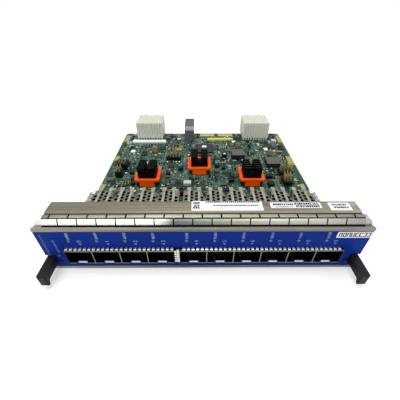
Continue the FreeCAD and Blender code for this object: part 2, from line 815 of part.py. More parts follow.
# Port cages: a cover with sides, back and a grid of vents, a base with latch tongues, and dividers
def make_cage(gang, middles):
    start, end = gang + "_start", gang + "_end"
    outer = cage_outline(gang, "Outer", len(middles), "0", "cage_height")
    inner = cage_outline(gang, "Inner", len(middles), "cage_wall", "cage_height - cage_wall")
    tabs, vents = [], []
    for index, middle in enumerate(middles):
        for name, sign in (("A", "-"), ("B", "+")):
            for row in range(int(number("vent_rows"))):
                near = "vent_start + vent_pitch * %d" % row
                vents.append(block("CageVent_%s%d%s%d" % (gang, index, name, row),
                                   centred("%s %s vent_out" % (middle, sign), "vent_width"),
                                   (near, near + " + vent_length"),
                                   ("cage_top - 2 * cage_wall", "cage_top + cage_wall")))
            tabs.append(block("CageTab_%s%d%s" % (gang, index, name),
                              centred("%s %s tab_out" % (middle, sign), "tab_width"),
                              ("cage_back - cage_wall", "cage_back + tab_reach"),
                              ("cage_top - cage_wall", "cage_top")))
    shell = cut("CageShell_" + gang, outer, [inner] + vents)
    keep(fuse("CageCover_" + gang, [shell] + tabs), "cage_cover_" + gang)

    plate = block("BasePlate_" + gang, (start + " + cage_wall", end + " - cage_wall"),
                  ("-cage_proud", "base_back"), ("board_top", "board_top + cage_wall"))
    slots, tongues = [], []
    for index, middle in enumerate(middles):
        slots.append(block("LatchSlot_%s%d" % (gang, index), centred(middle, "latch_slot"),
                           ("-2 * cage_proud", "latch_length - cage_proud"), ("0", "cage_top")))
        tongues.append(latch_tongue(gang, index, middle))
    keep(fuse("CageBase_" + gang, [cut("BaseCut_" + gang, plate, slots)] + tongues), "cage_base_" + gang)

    for index in range(1, len(middles)):
        middle = "%s + port_pitch * %d" % (start, index)
        keep(block("Divider_%s%d" % (gang, index), centred(middle, "divider_wall"),
                   ("-cage_proud", "cage_back - notch_length - notch_tip_shift * cage_wall"),
                   ("board_top + cage_wall", "cage_top - cage_wall")),
             "cage_divider_%s_%d" % (gang, index))

    rim = "collar_wall"
    ring = block("CollarRing_" + gang, (start + " - " + rim, end + " + " + rim),
                 ("-collar_proud", "collar_back"), ("board_top - " + rim, "cage_top + " + rim))
    hole = block("CollarHole_" + gang, (start, end), ("-2 * collar_proud", "board_back"),
                 ("board_top", "cage_top"))
    relief = block("CollarRelief_" + gang, ("2 * left_start", "2 * right_end"),
                   ("board_front - board_gap / 2", "board_back"), ("0", "board_top"))
    keep(cut("Collar_" + gang, ring, [hole, relief]), "spring_collar_" + gang)

    hosts = [host_connector(gang, index, middle) for index, middle in enumerate(middles)]
    keep(group("Hosts_" + gang, hosts), "port_connectors_" + gang)


# A tongue that rises from the base's cut to a lip at the mouth
def latch_tongue(gang, index, middle):
    body = new_body("Tongue_%s%d" % (gang, index))
    profile = sketch_on(body, "TongueProfile_%s%d" % (gang, index), "YZ_Plane", middle)
    draw_outline(profile, [
        ("latch_length - cage_proud", "board_top"),
        ("latch_length - cage_proud", "board_top + cage_wall"),
        ("-cage_proud / 2", "board_top + latch_rise + latch_lip"),
        ("-cage_proud / 2", "board_top + latch_rise")])
    pad(body, profile, "latch_width", middle=True)
    return body


def host_connector(gang, index, middle):
    front = "base_back + host_gap"
    case = block("HostCase_%s%d" % (gang, index), centred(middle, "host_width"),
                 (front, front + " + host_depth"), ("board_top", "board_top + host_height"))
    slot = block("HostSlot_%s%d" % (gang, index), centred(middle, "host_slot_width"),
                 ("base_back", front + " + host_slot_depth"),
                 ("board_top + host_slot_rise", "board_top + host_slot_rise + host_slot_height"))
    return cut("Host_%s%d" % (gang, index), case, [slot])


# Heat sinks in spring clips on their chips
def make_sink(place):
    middle, back = "sink_%s_x" % place, "sink_%s_y" % place
    keep(block("Chip_" + place, centred(middle, "chip_width"), centred(back, "chip_width"),
               ("board_top", "chip_top")), "chip_" + place)

    body = new_body("Sink_" + place)
    foot = sketch_on(body, "SinkFoot_" + place, "XY_Plane", "chip_top")
    rectangle(foot, centred(middle, "sink_foot_width"), centred(back, "sink_foot_width"))
    pad(body, foot, "sink_foot_thick")
    tower = sketch_on(body, "SinkTower_" + place, "XY_Plane", "foot_top")
    rectangle(tower, centred(middle, "sink_width"), centred(back, "sink_width"))
    pad(body, tower, "sink_tall")
    channel = sketch_on(body, "SinkChannel_" + place, "XY_Plane", "sink_top")
    rectangle(channel, centred(middle, "channel_width"), centred(back, "2 * sink_width"))
    pocket(body, channel, "fin_depth")
    groove = sketch_on(body, "SinkGroove_" + place, "XY_Plane", "sink_top")
    first = "%s - sink_width / 2 + fin_pitch - fin_gap" % back
    rectangle(groove, centred(middle, "2 * sink_width"), (first, first + " + fin_gap"))
    repeat(body, pocket(body, groove, "fin_depth"), "Y_Axis", "fin_pitch", "fin_count - 1")
    keep(body, "heat_sink_" + place)

    frame = new_body("ClipFrame_" + place)
    plan = sketch_on(frame, "ClipPlan_" + place, "XY_Plane", "foot_top")
    rectangle(plan, centred(middle, "clip_width"), centred(back, "clip_width"))
    pad(frame, plan, "clip_thick")
    round_edges(frame, "clip_round", lambda edge: edge.BoundBox.ZLength > CLOSE)
    skirts = []
    for name, near, far in (("Front", "- clip_width / 2", "- clip_width / 2 + skirt_wall"),
                            ("Rear", "+ clip_width / 2 - skirt_wall", "+ clip_width / 2")):
        skirts.append(block("ClipSkirt%s_%s" % (name, place), centred(middle, "skirt_width"),
                            ("%s %s" % (back, near), "%s %s" % (back, far)),
                            ("board_top + skirt_gap", "clip_top")))
    hole = block("ClipHole_" + place, centred(middle, "sink_width + 2 * clip_gap"),
                 centred(back, "sink_width + 2 * clip_gap"), ("board_top", "2 * clip_top"))
    keep(cut("Clip_" + place, fuse("ClipFused_" + place, [frame] + skirts), [hole]), "sink_clip_" + place)


# Backplane connector: ten thin wafers side by side, open like a comb at the board
def make_link(place):
    middle = "link_%s_x" % place
    body = new_body("Link_" + place)
    outline = sketch_on(body, "LinkOutline_" + place, "XY_Plane", "board_top")
    rectangle(outline, centred(middle, "link_width"), ("link_front", "link_back"))
    pad(body, outline, "link_height")
    first = "%s - link_width / 2 + wafer_pitch" % middle
    front = sketch_on(body, "LinkGroove_" + place, "YZ_Plane", first)
    draw_outline(front, [
        ("link_front - groove_depth", "board_top"), ("link_front + groove_depth", "board_top"),
        ("link_front + groove_depth", "link_top - groove_depth"),
        ("link_back + groove_depth", "link_top - groove_depth"),
        ("link_back + groove_depth", "link_top + groove_depth"),
        ("link_front - groove_depth", "link_top + groove_depth")])
    repeat(body, pocket(body, front, "wafer_groove", middle=True), "X_Axis", "wafer_pitch", "wafer_count - 1")
    comb = sketch_on(body, "LinkComb_" + place, "XY_Plane", "board_top")
    rectangle(comb, centred(first, "comb_gap"), ("link_front - comb_depth", "link_front + comb_depth"))
    repeat(body, pocket(body, comb, "comb_height", reverse=True), "X_Axis", "wafer_pitch", "wafer_count - 1")
    keys = [block("LinkKey_%s%d" % (place, side),
                  centred("%s + %d * (link_width / 2 - key_width)" % (middle, side), "key_width"),
                  ("link_back - key_depth", "link_back"),
                  ("link_top - groove_depth", "link_top + key_height"))
            for side in (-1, 1)]
    keep(fuse("LinkWhole_" + place, [body] + keys), "backplane_connector_" + place)


def make_guide():
    body = new_body("Guide")
    profile = sketch_on(body, "GuideProfile", "YZ_Plane", "guide_x")
    draw_outline(profile, [
        ("guide_front", "board_top"), ("guide_back", "board_top"), ("guide_back", "guide_top"),
        ("guide_front + guide_slope", "guide_top"), ("guide_front", "guide_top - guide_slope")])
    pad(body, profile, "guide_width", middle=True)
    start = ("guide_x", "guide_back - guide_bore_depth", "board_top + guide_bore_rise")
    bore = rod("GuideBore", "y", start, "2 * guide_bore_depth", "guide_bore")
    rim = ("guide_x", "guide_back - guide_mouth_depth", "board_top + guide_bore_rise")
    mouth = rod("GuideMouth", "y", rim, "guide_mouth_depth", "guide_bore", tip="guide_mouth")
    keep(cut("GuideBlock", body, [bore, mouth]), "guide_block")
    keep(block("LinkBar", ("bar_left", "bar_right"), ("bar_back - bar_depth", "bar_back"),
               ("board_top", "board_top + bar_height")), "connector_bar")


# Ejector lever: grip through the corner of the face, root on the pin, toe beside the face
def make_lever(side, label):
    grip = new_body("Grip_" + label)
    profile = sketch_on(grip, "GripProfile_" + label, "YZ_Plane", "%d * (grip_inner + grip_width / 2)" % side)
    draw_outline(profile, [
        ("pivot_back", "lever_low"), ("pivot_back", "lever_high"), ("-grip_reach", "lever_high"),
        ("-grip_reach", "lever_low - chin_drop"), ("-grip_reach + chin_length / 2", "lever_low - chin_drop"),
        ("-grip_reach + chin_length", "lever_low")])
    pad(grip, profile, "grip_width", middle=True)
    front = -number("grip_reach")

    def tip_edge(edge):
        return edge.BoundBox.YMax < front + CLOSE
    round_edges(grip, "grip_round", tip_edge)
    centre = "%d * pivot_out" % side
    tall = "lever_high - lever_low"
    root = rod("LeverRoot_" + label, "z", (centre, "pivot_back", "lever_low"), tall, "lever_root")
    toe = block("LeverToe_" + label, mirrored(side, "pivot_out", "pivot_out + toe_reach"),
                ("pivot_back", "pivot_back + toe_depth"), ("lever_low", "lever_high"))
    bore = rod("LeverBore_" + label, "z", (centre, "pivot_back", "0"), "2 * lever_high", "pivot_hole")
    whole = fuse("LeverSolid_" + label, [grip, root, toe])
    keep(cut("Lever_" + label, whole, [bore]), "ejector_lever_" + label)

    shaft = rod("PinShaft_" + label, "z", (centre, "pivot_back", "bracket_low"),
                "bracket_high - bracket_low", "pivot_pin")
    head = rod("PinHead_" + label, "z", (centre, "pivot_back", "bracket_high"), "pin_head_thick", "pin_head")
    keep(fuse("Pin_" + label, [shaft, head]), "pivot_pin_" + label)

    wall = "bracket_wall"
    web = block("BracketWeb_" + label, mirrored(side, "bracket_inner", "bracket_inner + " + wall),
                ("wall_back", "bracket_back"), ("bracket_low", "bracket_high"))
    lower = block("BracketLower_" + label, mirrored(side, "bracket_inner", "bracket_outer"),
                  ("bracket_front", "bracket_back"), ("bracket_low", "bracket_low + " + wall))
    upper = block("BracketUpper_" + label, mirrored(side, "bracket_inner", "bracket_outer"),
                  ("bracket_front", "bracket_back"), ("bracket_high - " + wall, "bracket_high"))
    tab = block("BracketTab_" + label,
                mirrored(side, "bracket_inner", "bracket_inner + %s + bracket_tab" % wall),
                ("wall_back", "wall_back + " + wall), ("bracket_tab_low", "bracket_tab_high"))
    relief = block("BracketRelief_" + label, mirrored(side, "bracket_inner", "bracket_inner + " + wall),
                   ("wall_back", "bracket_front"), ("bracket_tab_high", "bracket_high"))
    seat = rod("BracketSeat_" + label, "z", (centre, "pivot_back", "0"), "2 * bracket_high", "pivot_pin")
    hole = rod("BracketHole_" + label, "y", ("%d * screw_hole_out" % side, "0", "screw_hole_rise"),
               "bracket_front", "screw_shank")
    bent = fuse("BracketSolid_" + label, [web, lower, upper, tab])
    keep(cut("Bracket_" + label, bent, [seat, hole, relief]), "pivot_bracket_" + label)


def make_bracket_screws():
    screws = [rod("BracketScrew%d" % index, "y",
                  ("%d * screw_hole_out" % side, "overlay_thick", "screw_hole_rise"),
                  "face_wall + 2 * bracket_wall", "screw_shank")
              for index, side in enumerate((-1, 1))]
    keep(group("BracketScrews", screws), "bracket_screws")


def check_and_write():
    doc.recompute()
    for thing in doc.Objects:
        if "Invalid" in thing.State or "Error" in thing.State:
            raise RuntimeError("%s: %s" % (thing.Name, thing.State))
    for label, thing in nodes.items():
        if thing.Shape.isNull() or not thing.Shape.isValid() or not thing.Shape.Solids:
            raise RuntimeError("bad shape: " + label)
    os.makedirs("parts", exist_ok=True)
    for label, thing in nodes.items():
        thing.Shape.exportStep(os.path.join("parts", label + ".step"))
    print("%d nodes written" % len(nodes))


fill_sheet()
make_faceplate()
make_overlay()
make_hood()
make_strip()
for side, label in ((-1, "left"), (1, "right")):
    make_strip_end(side, label)
    make_lever(side, label)
make_lights()
make_board()
make_pin_header()
make_fasteners()
for gang, middles in zip(("left", "right"), ports()):
    make_cage(gang, middles)
for place in ("left", "middle", "right"):
    make_sink(place)
for place in ("left", "right"):
    make_link(place)
make_guide()
make_bracket_screws()
check_and_write()
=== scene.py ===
import math
import random

import bmesh
import bpy
from mathutils import Matrix, Vector


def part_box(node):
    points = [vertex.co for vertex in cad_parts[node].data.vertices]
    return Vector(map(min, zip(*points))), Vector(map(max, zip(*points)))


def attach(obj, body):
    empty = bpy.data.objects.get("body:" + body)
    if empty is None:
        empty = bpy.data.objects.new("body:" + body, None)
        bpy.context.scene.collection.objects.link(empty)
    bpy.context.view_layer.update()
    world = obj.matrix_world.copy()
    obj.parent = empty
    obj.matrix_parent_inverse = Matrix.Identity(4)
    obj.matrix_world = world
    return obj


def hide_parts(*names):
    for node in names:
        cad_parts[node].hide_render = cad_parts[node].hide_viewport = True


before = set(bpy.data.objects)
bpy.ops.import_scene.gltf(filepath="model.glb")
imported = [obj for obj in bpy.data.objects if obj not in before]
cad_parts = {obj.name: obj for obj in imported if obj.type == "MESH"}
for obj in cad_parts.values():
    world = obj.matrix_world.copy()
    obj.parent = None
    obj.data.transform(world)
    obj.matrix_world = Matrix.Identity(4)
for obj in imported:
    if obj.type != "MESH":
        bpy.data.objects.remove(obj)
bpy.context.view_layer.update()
print("frame loaded:", len(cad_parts), "nodes")

mm = 0.001
scene = bpy.context.scene
scene.view_settings.view_transform = "Standard"


def addObject(name, data):
    item = bpy.data.objects.new(name, data)
    scene.collection.objects.link(item)
    return item


def addNode(tree, kind, inputs=None, **given):
    node = tree.nodes.new(kind)
    for key, value in given.items():
        setattr(node, key, value)
    for socket, value in (inputs or {}).items():
        node.inputs[socket].default_value = value
    return node


def join(tree, *pairs):
    for start, end in pairs:
        tree.links.new(start, end)


# Camera, floor and studio light

view = {
    "place": (-2.625, -86.544, 118.965),   # mm
    "down": 39.104, "turn": 0.4485, "roll": 0.1556,   # degrees
    "lens": 22.766, "sensor": 36, "clip": (0.005, 50),
}


def makeCamera():
    down, turn, roll = (math.radians(view[key]) for key in ("down", "turn", "roll"))
    ahead = Vector((math.sin(turn) * math.cos(down), math.cos(turn) * math.cos(down), -math.sin(down)))
    side = Vector((math.cos(turn), -math.sin(turn), 0))
    up = side.cross(ahead)
    right = side * math.cos(roll) + up * math.sin(roll)
    top = -side * math.sin(roll) + up * math.cos(roll)
    lens = bpy.data.cameras.new("camera")
    lens.lens, lens.sensor_width = view["lens"], view["sensor"]
    lens.clip_start, lens.clip_end = view["clip"]
    camera = addObject("camera", lens)
    turned = Matrix((right, top, -ahead)).transposed().to_4x4()
    camera.matrix_world = Matrix.Translation(Vector(view["place"]) * mm) @ turned
    scene.camera = camera


studio = {
    "world": 0.36, "floorColour": 0.86, "floorSize": 12.0, "floorDrop": 0.02,
    # the floor glows more where the lamps reach less: distances in m, and the strengths there
    "floorGlow": {"From Min": 0.22, "From Max": 0.70, "To Min": 0.30, "To Max": 0.75},
    # place in mm, size in mm, power in W
    "lamps": {
        "overhead": ((-60, 120, 620), (700, 500), 3.4),
        "front": ((0, -620, 330), (700, 360), 2.0),
        "side": ((520, 60, 300), (300, 300), 0.7),
    },
    "aim": (0, 60, 10),
}


# 1 for what the camera, a reflection or clear plastic sees, 0 for what lights the object
def seenRay(tree):
    ray = addNode(tree, "ShaderNodeLightPath")
    total = ray.outputs["Is Camera Ray"]
    for name in ("Is Glossy Ray", "Is Transmission Ray"):
        larger = addNode(tree, "ShaderNodeMath", operation="MAXIMUM")
        join(tree, (total, larger.inputs[0]), (ray.outputs[name], larger.inputs[1]))
        total = larger.outputs[0]
    return total


def makeStudio():
    world = scene.world or bpy.data.worlds.new("world")
    scene.world = world
    world.use_nodes = True
    tree = world.node_tree
    tree.nodes.clear()
    out, mix = addNode(tree, "ShaderNodeOutputWorld"), addNode(tree, "ShaderNodeMixShader")
    lit, seen = (addNode(tree, "ShaderNodeBackground", {"Color": (1, 1, 1, 1), "Strength": level})
                 for level in (studio["world"], 1))
    join(tree, (seenRay(tree), mix.inputs["Fac"]), (lit.outputs[0], mix.inputs[1]),
         (seen.outputs[0], mix.inputs[2]), (mix.outputs[0], out.inputs["Surface"]))

    bpy.ops.mesh.primitive_plane_add(size=studio["floorSize"])
    floor = bpy.context.object
    floor.name = "floor"
    floor.location.z = -studio["floorDrop"] * mm
    paper = bpy.data.materials.new("paper")
    paper.use_nodes = True
    floor.data.materials.append(paper)
    tree, level = paper.node_tree, studio["floorColour"]
    tree.nodes.clear()
    out, mix = addNode(tree, "ShaderNodeOutputMaterial"), addNode(tree, "ShaderNodeMixShader")
    colour = (level, level, level, 1)
    matt, shown = (addNode(tree, "ShaderNodeBsdfDiffuse", {"Color": colour}) for _ in range(2))
    glow, both = addNode(tree, "ShaderNodeEmission"), addNode(tree, "ShaderNodeAddShader")
    where = addNode(tree, "ShaderNodeTexCoord")
    away = addNode(tree, "ShaderNodeVectorMath", operation="LENGTH")
    rise = addNode(tree, "ShaderNodeMapRange", studio["floorGlow"])
    join(tree, (where.outputs["Object"], away.inputs[0]), (away.outputs["Value"], rise.inputs["Value"]),
         (rise.outputs["Result"], glow.inputs["Strength"]), (shown.outputs[0], both.inputs[0]),
         (glow.outputs[0], both.inputs[1]), (seenRay(tree), mix.inputs["Fac"]), (matt.outputs[0], mix.inputs[1]),
         (both.outputs[0], mix.inputs[2]), (mix.outputs[0], out.inputs["Surface"]))

    for name, (place, size, power) in studio["lamps"].items():
        lamp = bpy.data.lights.new(name, "AREA")
        lamp.shape, lamp.energy = "RECTANGLE", power
        lamp.size, lamp.size_y = size[0] * mm, size[1] * mm
        holder = addObject(name, lamp)
        holder.location = Vector(place) * mm
        aim = Vector(studio["aim"]) * mm - holder.location
        holder.rotation_euler = aim.to_track_quat("-Z", "Y").to_euler()


makeCamera()
makeStudio()
print("camera, floor and lights made")


# Finishes: two tones in soft patches, a fine grain in the roughness and the surface

usual = {"shine": 0.5, "patch": 45, "patchDetail": 4, "grain": 1500, "grainDetail": 3, "bump": 0.03, "relief": 0.1,
         "streakFrom": (0.3, 0.7)}
finishes = {   # tone, second tone, metal, roughness from and to, then what isn't usual
    # painted reflection: the hood is painted brighter towards its right end
    "hoodSteel": ((0.145, 0.131, 0.098), (0.190, 0.174, 0.133), 0.85, (0.36, 0.52), {
        "patch": 26, "grain": (18, 1700, 1700), "bump": 0.06, "streaks": (0.68, 1.32), "along": (
            (-80, (1, 1, 1)), (25, (1, 1, 1)), (60, (1.3, 1.33, 1.4)), (80, (1.75, 1.85, 2.1)))}),
    # painted reflection and shade: the rim is painted lighter towards both ends and darker in the middle
    "rimSteel": ((0.32, 0.30, 0.255), (0.26, 0.24, 0.20), 0.85, (0.32, 0.48), {
        "grain": (20, 900, 900), "bump": 0.05, "streaks": (0.75, 1.25), "along": (
            (-84, (0.95, 0.95, 0.92)), (-57, (0.76, 0.75, 0.70)), (-32, (0.54, 0.53, 0.47)),
            (-8, (0.42, 0.41, 0.36)), (18, (0.54, 0.54, 0.52)), (43, (0.63, 0.63, 0.62)),
            (84, (0.85, 0.85, 0.83)))}),
    "bandSteel": ((0.25, 0.245, 0.195), (0.175, 0.17, 0.13), 0.85, (0.28, 0.42), {
        "patch": 90, "grain": (30, 900, 900), "bump": 0.04, "streaks": (0.7, 1.3)}),
    "springBright": ((0.88, 0.88, 0.86), (0.74, 0.74, 0.71), 0.8, (0.2, 0.3), {"grain": 500, "bump": 0.02}),
    "faceBlue": ((0.0008, 0.019, 0.195), (0.0016, 0.024, 0.225), 0, (0.42, 0.54), {
        "shine": 0.05, "patch": 30, "grain": 1400, "bump": 0.04}),
    "cageMetal": ((0.27, 0.26, 0.195), (0.10, 0.095, 0.068), 0.85, (0.22, 0.38), {
        "patch": 330, "grain": 500, "bump": 0.10}),
    # painted highlight: a lighter copy of the cage metal for the rear tabs, the strips between the hole columns and
    # the side leaves
    "cageTab": ((0.58, 0.57, 0.49), (0.17, 0.165, 0.135), 0.85, (0.16, 0.3), {
        "patch": 300, "grain": 500, "bump": 0.08}),
    "connectorCream": ((0.73, 0.73, 0.645), (0.68, 0.68, 0.59), 0, (0.45, 0.6), {"shine": 0.25, "patch": 60}),
    # painted shade: a darker copy of the connector's cream for its core, seen in the grooves between the wafers
    "connectorShade": ((0.34, 0.335, 0.27), (0.28, 0.275, 0.22), 0, (0.5, 0.65), {"shine": 0.1}),
    "whitePlastic": ((0.90, 0.93, 0.91), (0.84, 0.87, 0.85), 0, (0.35, 0.5), {"shine": 0.3, "bump": 0.02}),
    "guideGrey": ((0.10, 0.11, 0.12), (0.15, 0.16, 0.17), 0.3, (0.35, 0.5), {"grain": 1200, "bump": 0.05}),
    # painted light: a darker copy of the guide's grey for its top, and a lighter one for its sloped front edge
    "guidePaintedShade": ((0.042, 0.052, 0.050), (0.062, 0.074, 0.072), 0.3, (0.35, 0.5), {"grain": 900, "bump": 0.04}),
    "guidePaintedHighlight": ((0.19, 0.20, 0.20), (0.15, 0.16, 0.16), 0.3, (0.3, 0.45), {"grain": 900, "bump": 0.04}),
    "clipOrange": ((0.98, 0.105, 0.003), (0.88, 0.088, 0.002), 0, (0.4, 0.55), {"shine": 0.15}),
    "sinkBlack": ((0.0015,) * 3, (0.003,) * 3, 0, (0.5, 0.65), {"shine": 0.06, "bump": 0.04}),
    "leverBlack": ((0.0045, 0.0055, 0.006), (0.008, 0.0095, 0.010), 0, (0.38, 0.52), {
        "shine": 0.14, "patch": 60, "grain": 900, "bump": 0.10}),
    "blackPlastic": ((0.0035, 0.0035, 0.004), (0.007, 0.007, 0.0075), 0, (0.4, 0.6), {
        "shine": 0.15, "grain": 1800, "bump": 0.05}),
    "chipGrey": ((0.019, 0.019, 0.017), (0.027, 0.027, 0.024), 0, (0.45, 0.6), {
        "shine": 0.14, "grain": 900, "bump": 0.05}),
    "ferrite": ((0.115, 0.105, 0.095), (0.085, 0.078, 0.072), 0, (0.5, 0.7), {
        "shine": 0.2, "patch": 200, "grain": 1800, "bump": 0.08}),
    "ferriteSide": ((0.010, 0.010, 0.010), (0.020, 0.018, 0.018), 0, (0.5, 0.7), {
        "shine": 0.2, "grain": 1800, "bump": 0.08}),
    "busYellow": ((0.66, 0.60, 0.085), (0.56, 0.51, 0.07), 0.2, (0.35, 0.5), {}),
    "padGold": ((0.40, 0.335, 0.095), (0.28, 0.24, 0.065), 0.3, (0.3, 0.45), {"patch": 220, "bump": 0.04}),
    "padBright": ((0.62, 0.57, 0.28), (0.48, 0.43, 0.18), 0.3, (0.3, 0.45), {"patch": 220, "bump": 0.04}),
    "boardEdge": ((0.24, 0.36, 0.17), (0.42, 0.52, 0.30), 0, (0.5, 0.65), {
        "shine": 0.2, "grain": 900, "bump": 0.05}),
    "maskPale": ((0.10, 0.19, 0.145), (0.17, 0.27, 0.21), 0.1, (0.3, 0.45), {"patch": 300, "grain": 900}),
    "maskDark": ((0.008, 0.046, 0.026), (0.015, 0.064, 0.040), 0, (0.35, 0.5), {
        "shine": 0.15, "patch": 40, "grain": 900, "bump": 0.05}),
    "screwBlue": ((0.003, 0.012, 0.075), (0.002, 0.008, 0.05), 0.2, (0.4, 0.55), {"shine": 0.1, "grain": 900}),
    "screwSteel": ((0.60, 0.62, 0.62), (0.48, 0.49, 0.49), 0.8, (0.25, 0.4), {"bump": 0.04}),
    "pinGold": ((0.95, 0.78, 0.32), (0.36, 0.26, 0.06), 0.6, (0.22, 0.36), {"patch": 420, "bump": 0.02}),
    "coilBrass": ((0.26, 0.165, 0.045), (0.13, 0.085, 0.025), 0.5, (0.25, 0.4), {
        "patch": 300, "grain": 900, "bump": 0.05}),
    "solder": ((0.44, 0.45, 0.43), (0.28, 0.29, 0.27), 0.8, (0.2, 0.35), {
        "patch": 300, "grain": 900, "bump": 0.05}),
    "partTan": ((0.28, 0.20, 0.13), (0.20, 0.14, 0.09), 0, (0.4, 0.55), {"shine": 0.3, "patch": 200}),
    "partRed": ((0.13, 0.045, 0.035), (0.08, 0.03, 0.025), 0, (0.4, 0.55), {"shine": 0.3, "patch": 200}),
    "partCream": ((0.60, 0.56, 0.45), (0.50, 0.46, 0.36), 0, (0.4, 0.55), {"shine": 0.3, "patch": 200}),
    "labelPaper": ((0.80,) * 3, (0.75,) * 3, 0, (0.5, 0.65), {"shine": 0.2, "bump": 0.01}),
    "labelInk": ((0.02, 0.02, 0.022), (0.05, 0.05, 0.05), 0, (0.6, 0.7), {"shine": 0.1, "bump": 0.01}),
    "labelGrey": ((0.22, 0.22, 0.24), (0.34, 0.34, 0.36), 0, (0.6, 0.7), {
        "shine": 0.1, "patch": 600, "bump": 0.01}),
    "facePrint": ((0.38, 0.43, 0.60), (0.16, 0.21, 0.42), 0, (0.5, 0.6), {
        "shine": 0.1, "patch": 700, "bump": 0.01, "along": (
            (-82, (0.35, 0.4, 0.55)), (-75, (0.45, 0.5, 0.65)), (-70, (1, 1, 1)), (-10, (0.9, 0.9, 0.95)),
            (20, (0.7, 0.72, 0.8)), (84, (0.62, 0.65, 0.75)))}),
    "lensClear": ((0.085, 0.088, 0.070), (0.13, 0.13, 0.10), 0, (0.2, 0.3), {"shine": 0.4, "bump": 0.02}),
    # painted shade: near black for plates, holes and inner faces that stand in for the shade in gaps, grooves and
    # recesses
    "darkHollow": ((0.002,) * 3, (0.004, 0.0035, 0.003), 0, (0.7, 0.9), {
        "shine": 0.05, "grain": 900, "bump": 0.02}),
    # painted shade: bright only on the front edges, painted dark behind them where the inside of a port lies in
    # shade
    "portMetal": ((0.21, 0.205, 0.17), (0.155, 0.15, 0.125), 0.8, (0.28, 0.42), {
        "dark": (0.002, 0.0018, 0.0015), "edge": -1.6, "grain": 700}),
    "lipSteel": ((0.56, 0.58, 0.62), (0.44, 0.46, 0.50), 0.6, (0.25, 0.4), {"patch": 120, "grain": 700}),
    # painted reflection: the strip is near white at its left end and painted darker along its length towards the
    # right
    "fingerMetal": ((0.97, 0.97, 0.95), (0.90, 0.90, 0.87), 0.5, (0.24, 0.36), {
        "patch": 60, "grain": 300, "bump": 0.01, "along": (
            (-24, (1, 1, 1)), (-19, (0.5, 0.54, 0.45)), (-15, (0.11, 0.14, 0.18)), (-6, (0.17, 0.19, 0.17)),
            (10, (0.27, 0.30, 0.25)), (30, (0.42, 0.44, 0.39)), (60, (0.46, 0.47, 0.44)),
            (76, (0.34, 0.35, 0.33)))}),
    # painted reflection: the strip's end pieces are lighter at the left end than at the right
    "endSilver": ((0.96, 0.96, 0.93), (0.62, 0.62, 0.58), 0.45, (0.2, 0.34), {
        "patch": 230, "grain": 700, "bump": 0.04, "along": (
            (-84, (1, 1, 1)), (0, (0.8, 0.8, 0.8)), (84, (0.52, 0.52, 0.49)))}),
}
made = {}


def newMaterial(name):
    made[name] = bpy.data.materials.new(name)
    made[name].use_nodes = True
    tree = made[name].node_tree
    return tree, tree.nodes["Principled BSDF"], addNode(tree, "ShaderNodeTexCoord").outputs["Object"]


def mixed(tree, way, factor, first, second):
    node = addNode(tree, "ShaderNodeMix", data_type="RGBA", blend_type=way)
    for name, value in (("Factor", factor), ("A", first), ("B", second)):
        if isinstance(value, bpy.types.NodeSocket):
            join(tree, (value, node.inputs[name]))
        else:
            node.inputs[name].default_value = value if isinstance(value, (int, float)) else (*value, 1)
    return node.outputs["Result"]


def alongX(tree, where, stops):
    first, last = stops[0][0], stops[-1][0]
    apart, ramp = addNode(tree, "ShaderNodeSeparateXYZ"), addNode(tree, "ShaderNodeValToRGB")
    spread = addNode(tree, "ShaderNodeMapRange", {"From Min": first * mm, "From Max": last * mm})
    elements = ramp.color_ramp.elements
    for index, (place, tint) in enumerate(stops):
        stop = (place - first) / (last - first)
        element = elements[index] if index < 2 else elements.new(stop)
        element.position, element.color = stop, (*tint, 1)
    join(tree, (where, apart.inputs[0]), (apart.outputs["X"], spread.inputs["Value"]),
         (spread.outputs["Result"], ramp.inputs["Fac"]))
    return ramp.outputs["Color"]


# 1 behind the front edge: the mask for the painted shade inside the ports
def behindEdge(tree, where, edge):
    apart = addNode(tree, "ShaderNodeSeparateXYZ")
    past = addNode(tree, "ShaderNodeMath", {1: edge * mm}, operation="GREATER_THAN")
    join(tree, (where, apart.inputs[0]), (apart.outputs["Y"], past.inputs[0]))
    return past.outputs[0]


def finish(name):
    if name in made:
        return made[name]
    tone, second, metal, rough, more = finishes[name]
    want = {**usual, **more}
    tree, shader, where = newMaterial(name)
    shader.inputs["Metallic"].default_value = metal
    shader.inputs["Specular IOR Level"].default_value = want["shine"]
    scale = want["grain"] if isinstance(want["grain"], tuple) else (want["grain"],) * 3
    patch = addNode(tree, "ShaderNodeTexNoise", {"Scale": want["patch"], "Detail": want["patchDetail"]})
    stretch = addNode(tree, "ShaderNodeMapping", {"Scale": scale})
    grain = addNode(tree, "ShaderNodeTexNoise", {"Scale": 1, "Detail": want["grainDetail"]})
    shine = addNode(tree, "ShaderNodeMapRange", {"To Min": rough[0], "To Max": rough[1]})
    relief = addNode(tree, "ShaderNodeBump", {"Strength": want["bump"], "Distance": want["relief"] * mm})
    join(tree, (where, patch.inputs["Vector"]), (where, stretch.inputs["Vector"]),
         (stretch.outputs["Vector"], grain.inputs["Vector"]), (grain.outputs["Fac"], shine.inputs["Value"]),
         (grain.outputs["Fac"], relief.inputs["Height"]), (shine.outputs["Result"], shader.inputs["Roughness"]),
         (relief.outputs["Normal"], shader.inputs["Normal"]))
    colour = mixed(tree, "MIX", patch.outputs["Fac"], tone, second)
    if "streaks" in want:
        (start, end), (low, high) = want["streakFrom"], want["streaks"]
        streak = addNode(tree, "ShaderNodeMapRange", {
            "From Min": start, "From Max": end, "To Min": low, "To Max": high})
        join(tree, (grain.outputs["Fac"], streak.inputs["Value"]))
        colour = mixed(tree, "MULTIPLY", 1.0, colour, streak.outputs["Result"])
    if "along" in want:
        colour = mixed(tree, "MULTIPLY", 1.0, colour, alongX(tree, where, want["along"]))
    # painted shade behind the front edge
    if "dark" in want:
        colour = mixed(tree, "MIX", behindEdge(tree, where, want["edge"]), colour, want["dark"])
    join(tree, (colour, shader.inputs["Base Color"]))
    return made[name]


